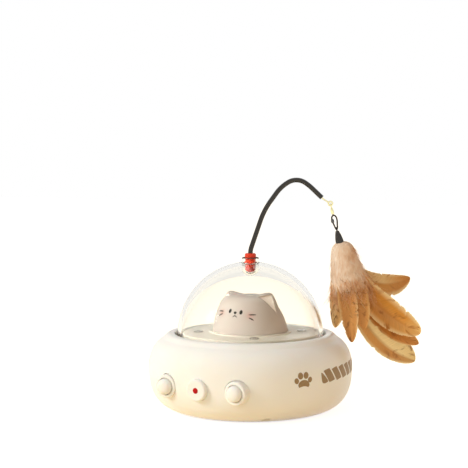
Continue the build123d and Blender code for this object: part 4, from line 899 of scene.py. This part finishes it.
# hard keratin, cream, faintly see-through
horn = {"low": "#c79a62", "high": "#e3c495", "fleckMm": 4, "roughness": 0.35, "depth": 0.2, "scatter": 0.0005}
shaftHorn, tree = newMaterial("feather_shaft_horn")
place = addNode(tree, "TexCoord").outputs["Object"]
fleck = addNode(tree, "TexNoise", Vector=place, Scale=1000 / horn["fleckMm"], Detail=2.0)
tone = addNode(tree, "ValToRGB", {"stops": [(0.3, horn["low"]), (0.7, horn["high"])]}, Fac=fleck)
shader = addNode(
    tree, "BsdfPrincipled", Base_Color=tone, Roughness=horn["roughness"],
    Subsurface_Weight=horn["depth"], Subsurface_Scale=horn["scatter"],
)
addNode(tree, "OutputMaterial", Surface=shader)


def shaftSpot(feather, share):
    foot = Vector((feather["quill"], 0))
    control, far = foot + Vector(feather["bow"]), Vector(feather["tip"])
    spot = foot * (1 - share) ** 2 + control * 2 * share * (1 - share) + far * share**2
    way = ((control - foot) * 2 * (1 - share) + (far - control) * 2 * share).normalized()
    return spot, way


def fullnessAt(feather, rise):  # 0 at both ends of the vane, 1 where it is widest
    return math.sin(math.pi * min(rise, 0.999) ** feather["belly"]) ** feather["blunt"]


def featherPlace(feather, spot, depth):  # leaning about the fan's level line
    lean = math.radians(feather["lean"])
    y = spot.y * math.cos(lean) - depth * math.sin(lean)
    return lurePlace(spot.x, y, spot.y * math.sin(lean) + depth * math.cos(lean))


for name, feather in feathers.items():
    wobble = random.Random(feather["seed"])
    notches = [
        (wobble.uniform(0.25, 0.95), wobble.choice((-1, 1)), wobble.uniform(0.05, 0.2))
        for _ in range(plume["notches"])
    ]

    def vanePlace(share, rise):
        s = 2 * share - 1
        along = plume["vaneFrom"] + (1 - plume["vaneFrom"]) * rise
        reach = feather["half"][1 if s > 0 else 0] * fullnessAt(feather, rise) + plume["leastHalf"]
        for at, side, depth in notches:
            if side * s > 0:
                off = (rise - at + plume["notchSlant"] * abs(s)) / plume["notchWidth"]
                reach *= 1 - depth * math.exp(-(off**2)) * abs(s)
        spot, way = shaftSpot(feather, along - plume["sweep"] * abs(s) ** plume["sweepSteep"] * (1 - rise))
        sideways = Vector((-way.y, way.x))
        waveX, waveY, waveZ = plume["waveScale"]
        wave = noise.noise(Vector((s * waveX, rise * waveY, feather["seed"] * waveZ)))
        depth = feather["cup"] * (s * s - plume["cupLevel"]) * reach * plume["cupShare"]
        depth += feather["curl"] * rise * rise
        depth += wave * plume["wave"] * rise
        return featherPlace(feather, spot + sideways * s * reach * plume["trim"], depth)

    def quillPlace(share, rise):
        along = plume["shaftRoot"] + plume["shaftReach"] * rise
        spot, way = shaftSpot(feather, along)
        vaneRise = max(0.0, (along - plume["vaneFrom"]) / (1 - plume["vaneFrom"]))
        cup = -plume["cupLevel"] * feather["cup"] * plume["cupShare"]
        depth = cup * sum(feather["half"]) / 2 * fullnessAt(feather, vaneRise)
        hidden = plume["shaftHidden"] * ease(0.0, plume["shaftHiddenFrom"], vaneRise)  # the far side's ridge
        depth += feather["curl"] * vaneRise**2 - hidden
        angle = share * math.tau
        thick = plume["shaftThick"] * (1 - rise) ** plume["shaftTaper"] + plume["shaftEnd"]
        sideways = Vector((-way.y, way.x))
        spot += sideways * math.cos(angle) * thick
        return featherPlace(feather, spot, depth + math.sin(angle) * thick)

    vane = wrapGrid(*plume["vaneGrid"], vanePlace)
    addPiece(name + "_vane", vane, featherVane(name + "_keratin", feather), "lure", [name])
    addShape(name + "_shaft", plume["shaftGrid"], quillPlace, shaftHorn, "lure")
print("feathers grown")

down = {
    "left": [(-1.6, 0.9), (-5.0, -2.0), (-7.4, -10.0), (-9.6, -19.5), (-11.0, -30.5)],
    "right": [(2.1, 0.9), (6.6, -2.3), (7.3, -8.5), (9.4, -17.5), (13.0, -29.5)],
    "depth": [1.4, 4.2, 6.4, 8.2, 6.5],
    "grid": (64, 60),
    "closeFrom": 0.86,
    "openTo": 0.05,
    "lumpScale": 0.22,
    "lump": 0.8,
    "seed": 29,
}


def downPlace(share, rise):
    left, right = alongRoute(down["left"], rise), alongRoute(down["right"], rise)
    thick = alongRoute([(d, 0) for d in down["depth"]], rise)[0]
    angle = share * math.tau
    ending = max(0.0, (rise - down["closeFrom"]) / (1 - down["closeFrom"]))
    closing = math.sqrt(max(0.0, 1 - ending**2)) * math.sqrt(min(1.0, rise / down["openTo"]))
    spot = (left + right) / 2 + (right - left) / 2 * math.cos(angle) * closing
    lumpSpot = Vector((spot.x * down["lumpScale"], spot.y * down["lumpScale"], math.sin(angle) * 1.5))
    lump = noise.noise(lumpSpot) * down["lump"]
    return lurePlace(spot.x + lump, spot.y, (thick + lump) * math.sin(angle) * closing)


barbule = {
    "turn": -29,
    "drawn": (1.0, 1.0, 0.28),
    "strandMm": 1.1,
    "cloudMm": 9,
    "relief": 0.6,
    "reliefHeight": 0.0003,
    "roughness": 0.85,
    "sheen": 0.4,
    "sheenTint": "#ffd0a4",
    "strandShare": (0.55, -0.02),  # how much of the tone follows the strands
    "cloudShare": 0.5,
    "openFrom": 0.72,
    "open": (0.1, 0.74),
}


# plume down: hair-fine soft barbs, so a veil of thin strands over a paler heart
def softDown(name, low, high, clear, frayed=False):
    material, tree = newMaterial(name)
    place = addNode(tree, "TexCoord").outputs["Object"]
    turned = addNode(
        tree, "Mapping", Vector=place, Rotation=(0, 0, math.radians(barbule["turn"])),
        Scale=barbule["drawn"],
    )
    strandScale = 1000 / barbule["strandMm"]
    strand = addNode(tree, "TexNoise", Vector=turned, Scale=strandScale, Detail=4.0, Distortion=0.6)
    broad = addNode(tree, "TexNoise", Vector=place, Scale=1000 / barbule["cloudMm"], Detail=2.0)
    weighed = {"operation": "MULTIPLY_ADD"}
    fineShare = addNode(tree, "Math", weighed, strand, *barbule["strandShare"])
    both = addNode(tree, "Math", weighed, broad, barbule["cloudShare"], fineShare)
    tone = addNode(tree, "ValToRGB", {"stops": [(0.35, low), (0.66, high)]}, Fac=both)
    relief = addNode(
        tree, "Bump", Strength=barbule["relief"], Distance=barbule["reliefHeight"], Height=strand
    )
    surface = addNode(
        tree, "BsdfPrincipled", Base_Color=tone, Roughness=barbule["roughness"], Normal=relief,
        Sheen_Weight=barbule["sheen"], Sheen_Roughness=0.5, Sheen_Tint=linear(barbule["sheenTint"]),
    )
    glow = addNode(tree, "BsdfTranslucent", Color=tone)
    shader = addNode(tree, "MixShader", Fac=clear, i1=surface, i2=glow)
    if frayed:  # breaks up into strands towards its open end
        share = addNode(tree, "UVMap", {"uv_map": "share"})
        along = addNode(tree, "SeparateXYZ", Vector=share).outputs["Y"]
        opening = addNode(tree, "MapRange", {}, along, barbule["openFrom"], 1, *barbule["open"])
        gap = addNode(tree, "Math", {"operation": "LESS_THAN"}, strand, opening)
        clearer = addNode(tree, "BsdfTransparent")
        shader = addNode(tree, "MixShader", Fac=gap, i1=shader, i2=clearer)
    addNode(tree, "OutputMaterial", Surface=shader)
    return material


plumeSoft = softDown("down_plume_soft", "#edc8a8", "#fdebd8", 0.12, True)
addShape("down_heart", down["grid"], downPlace, plumeSoft, "lure", ["down_front", "down_back"])

strands = {
    "down_strands": {
        "tones": ("down_strand_pale", "#f3cfa8", "#fff0dc", 0.4),  # material, low, high, clearness
        "count": 1500,
        "thick": 0.055,
        "reach": (4.0, 8.5),
        "sway": 0.15,
        "lowest": 0.02,
    },
    "down_strands_long": {
        "tones": ("down_strand_tan", "#f5c48c", "#ffe6bd", 0.5),
        "count": 620,
        "thick": 0.1,
        "reach": (6.0, 11.0),
        "sway": 0.3,
        "lowest": 0.66,
    },
    "down_strands_dark": {
        "tones": ("down_strand_brown", "#94622f", "#b98750", 0.2),
        "count": 50,
        "thick": 0.07,
        "reach": (5.0, 10.0),
        "sway": 0.5,
        "lowest": 0.5,
    },
}
habit = {  # how every strand grows
    "steps": 6,
    "highest": 0.97,
    "crowding": 0.8,  # below 1, more of them start low
    "length": (0.55, 0.45),  # the share that all have, and what is added away from the sleeve
    "lift": (0.25, 0.7),
    "aslant": (0.05, 0.22),
    "forward": (0, 0.12),
    "droop": 0.25,
    "rooted": 0.5,
    "ripple": 0.12,
    "rippleTurns": (7, 3),
    "taper": 0.75,
}
loose = random.Random(down["seed"])


def growStrand(strand, kind):
    share, rise = loose.random(), loose.uniform(kind["lowest"], habit["highest"]) ** habit["crowding"]
    root = Vector(downPlace(share, rise))
    heart = (Vector(downPlace(share + 0.5, rise)) + root) / 2
    outward = (root - heart).normalized()
    way = outward * loose.uniform(*habit["lift"]) - lureUp
    way += lureRight * loose.gauss(*habit["aslant"])
    way += lureOut * loose.gauss(*habit["forward"])
    away = way.normalized()
    grown = habit["length"][0] + habit["length"][1] * min(1.0, rise * 3)
    length = loose.uniform(*kind["reach"]) * grown
    sway = kind["sway"]
    bend = lureRight * loose.gauss(0, sway) + lureOut * loose.gauss(0, sway)
    bend = (bend - outward * habit["droop"]) * length
    strand.points.add(habit["steps"])
    for i, point in enumerate(strand.points):
        t = i / habit["steps"]
        spot = root - outward * habit["rooted"] + away * length * t + bend * t * t
        turns = t * habit["rippleTurns"][0] + length * habit["rippleTurns"][1]
        ripple = lureRight * math.sin(turns) * habit["ripple"] * length * sway
        point.co = (*((spot + ripple) * mm), 1)
        point.radius = 1 - habit["taper"] * t


for name, kind in strands.items():
    held = bpy.data.curves.new(name, "CURVE")
    held.dimensions = "3D"
    held.bevel_depth = kind["thick"] * mm
    held.bevel_resolution = 0
    held.materials.append(softDown(*kind["tones"]))
    for _ in range(kind["count"]):
        growStrand(held.splines.new("POLY"), kind)
    piece = bpy.data.objects.new(name, held)
    putInScene(piece)
    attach(piece, "lure")
print("down grown")

# camera, lamps, floor
camera = {
    "focalPx": 1202,
    "framePx": 468,
    "away": 647.07,
    "height": 131.87,
    "turn": 29.0,
    "pitch": 0.0585,
    "yaw": 0.0137,
}
turn = math.radians(camera["turn"])
outward = Vector((math.sin(turn), -math.cos(turn), 0))
across = Vector((math.cos(turn), math.sin(turn), 0))
level = -math.sin(camera["yaw"]) * across - math.cos(camera["yaw"]) * outward
ahead = math.cos(camera["pitch"]) * level + Vector((0, 0, -math.sin(camera["pitch"])))
right = math.cos(camera["yaw"]) * across - math.sin(camera["yaw"]) * outward
upward = right.cross(ahead)
eye = outward * camera["away"] * mm + Vector((0, 0, camera["height"] * mm))
lens = bpy.data.cameras.new("camera")
lens.sensor_width = 36
lens.lens = camera["focalPx"] / camera["framePx"] * lens.sensor_width
viewer = bpy.data.objects.new("camera", lens)
viewer.matrix_world = Matrix.Translation(eye) @ Matrix((right, upward, -ahead)).transposed().to_4x4()
putInScene(viewer)
bpy.context.scene.camera = viewer

lamps = {
    "key": {"from": (-0.66, 0.24, 0.36), "size": 0.3, "watts": 3.2, "colour": "#fffefb"},
    "front": {"from": (-0.22, 0.80, 0.30), "size": 0.6, "watts": 1.0, "colour": "#fffcf6"},
    "side": {"from": (0.50, 0.25, 0.03), "size": 0.3, "watts": 0.4, "colour": "#ffb860"},
}
lampAim = Vector((0, 0, 0.04))
for name, lamp in lamps.items():
    data = bpy.data.lights.new(name, "AREA")
    data.shape = "DISK"
    data.size = lamp["size"]
    data.energy = lamp["watts"]
    data.color = linear(lamp["colour"])[:3]
    holder = bpy.data.objects.new(name, data)
    x, y, z = lamp["from"]
    holder.location = across * x + outward * y + Vector((0, 0, z))
    holder.visible_glossy = False
    holder.rotation_mode = "QUATERNION"
    holder.rotation_quaternion = (lampAim - holder.location).to_track_quat("-Z", "Y")
    putInScene(holder)


def seenDirectly(tree):  # 1 straight, mirrored or through the dome, 0 once the light has been scattered
    rays = addNode(tree, "LightPath").outputs
    mirrored = addNode(tree, "Math", {"operation": "ADD"}, rays["Is Camera Ray"], rays["Is Glossy Ray"])
    total = {"operation": "ADD", "use_clamp": True}
    seen = addNode(tree, "Math", total, mirrored, rays["Is Transmission Ray"])
    less = {"operation": "SUBTRACT", "use_clamp": True}
    return addNode(tree, "Math", less, seen, rays["Diffuse Depth"])


studio = {"soft": "#fffaf1", "softStrength": 0.46}
world = bpy.data.worlds.new("studio")
bpy.context.scene.world = world
world.use_nodes = True
tree = world.node_tree
tree.nodes.clear()
soft = addNode(tree, "Background", Color=linear(studio["soft"]), Strength=studio["softStrength"])
white = addNode(tree, "Background", Color=(1, 1, 1, 1), Strength=1.0)
both = addNode(tree, "MixShader", Fac=seenDirectly(tree), i1=soft, i2=white)
addNode(tree, "OutputWorld", Surface=both)

floorLook = {
    "reach": 3.0,
    "low": "#fae2ae",
    "high": "#fde7b8",
    "fibreMm": 3,
    "glow": "#f5f9ff",
    "glowStrength": 0.86,
}
floorMesh = bmesh.new()
bmesh.ops.create_grid(floorMesh, x_segments=8, y_segments=8, size=floorLook["reach"])
floorData = bpy.data.meshes.new("floor")
floorMesh.to_mesh(floorData)
floorMesh.free()
floor = bpy.data.objects.new("floor", floorData)
putInScene(floor)
material, tree = newMaterial("floor_paper_white")
place = addNode(tree, "TexCoord").outputs["Object"]
fibre = addNode(tree, "TexNoise", Vector=place, Scale=1000 / floorLook["fibreMm"], Detail=2.0)
paper = addNode(tree, "ValToRGB", {"stops": [(0.0, floorLook["low"]), (1.0, floorLook["high"])]}, Fac=fibre)
sheet = addNode(tree, "BsdfDiffuse", Color=paper)
glow = addNode(tree, "Emission", Color=linear(floorLook["glow"]), Strength=floorLook["glowStrength"])
lit = addNode(tree, "AddShader", i0=sheet, i1=glow)
picked = addNode(tree, "MixShader", Fac=seenDirectly(tree), i1=sheet, i2=lit)
addNode(tree, "OutputMaterial", Surface=picked)
floorData.materials.append(material)
bpy.context.scene.view_settings.view_transform = "Standard"
print("camera, lamps and floor placed")
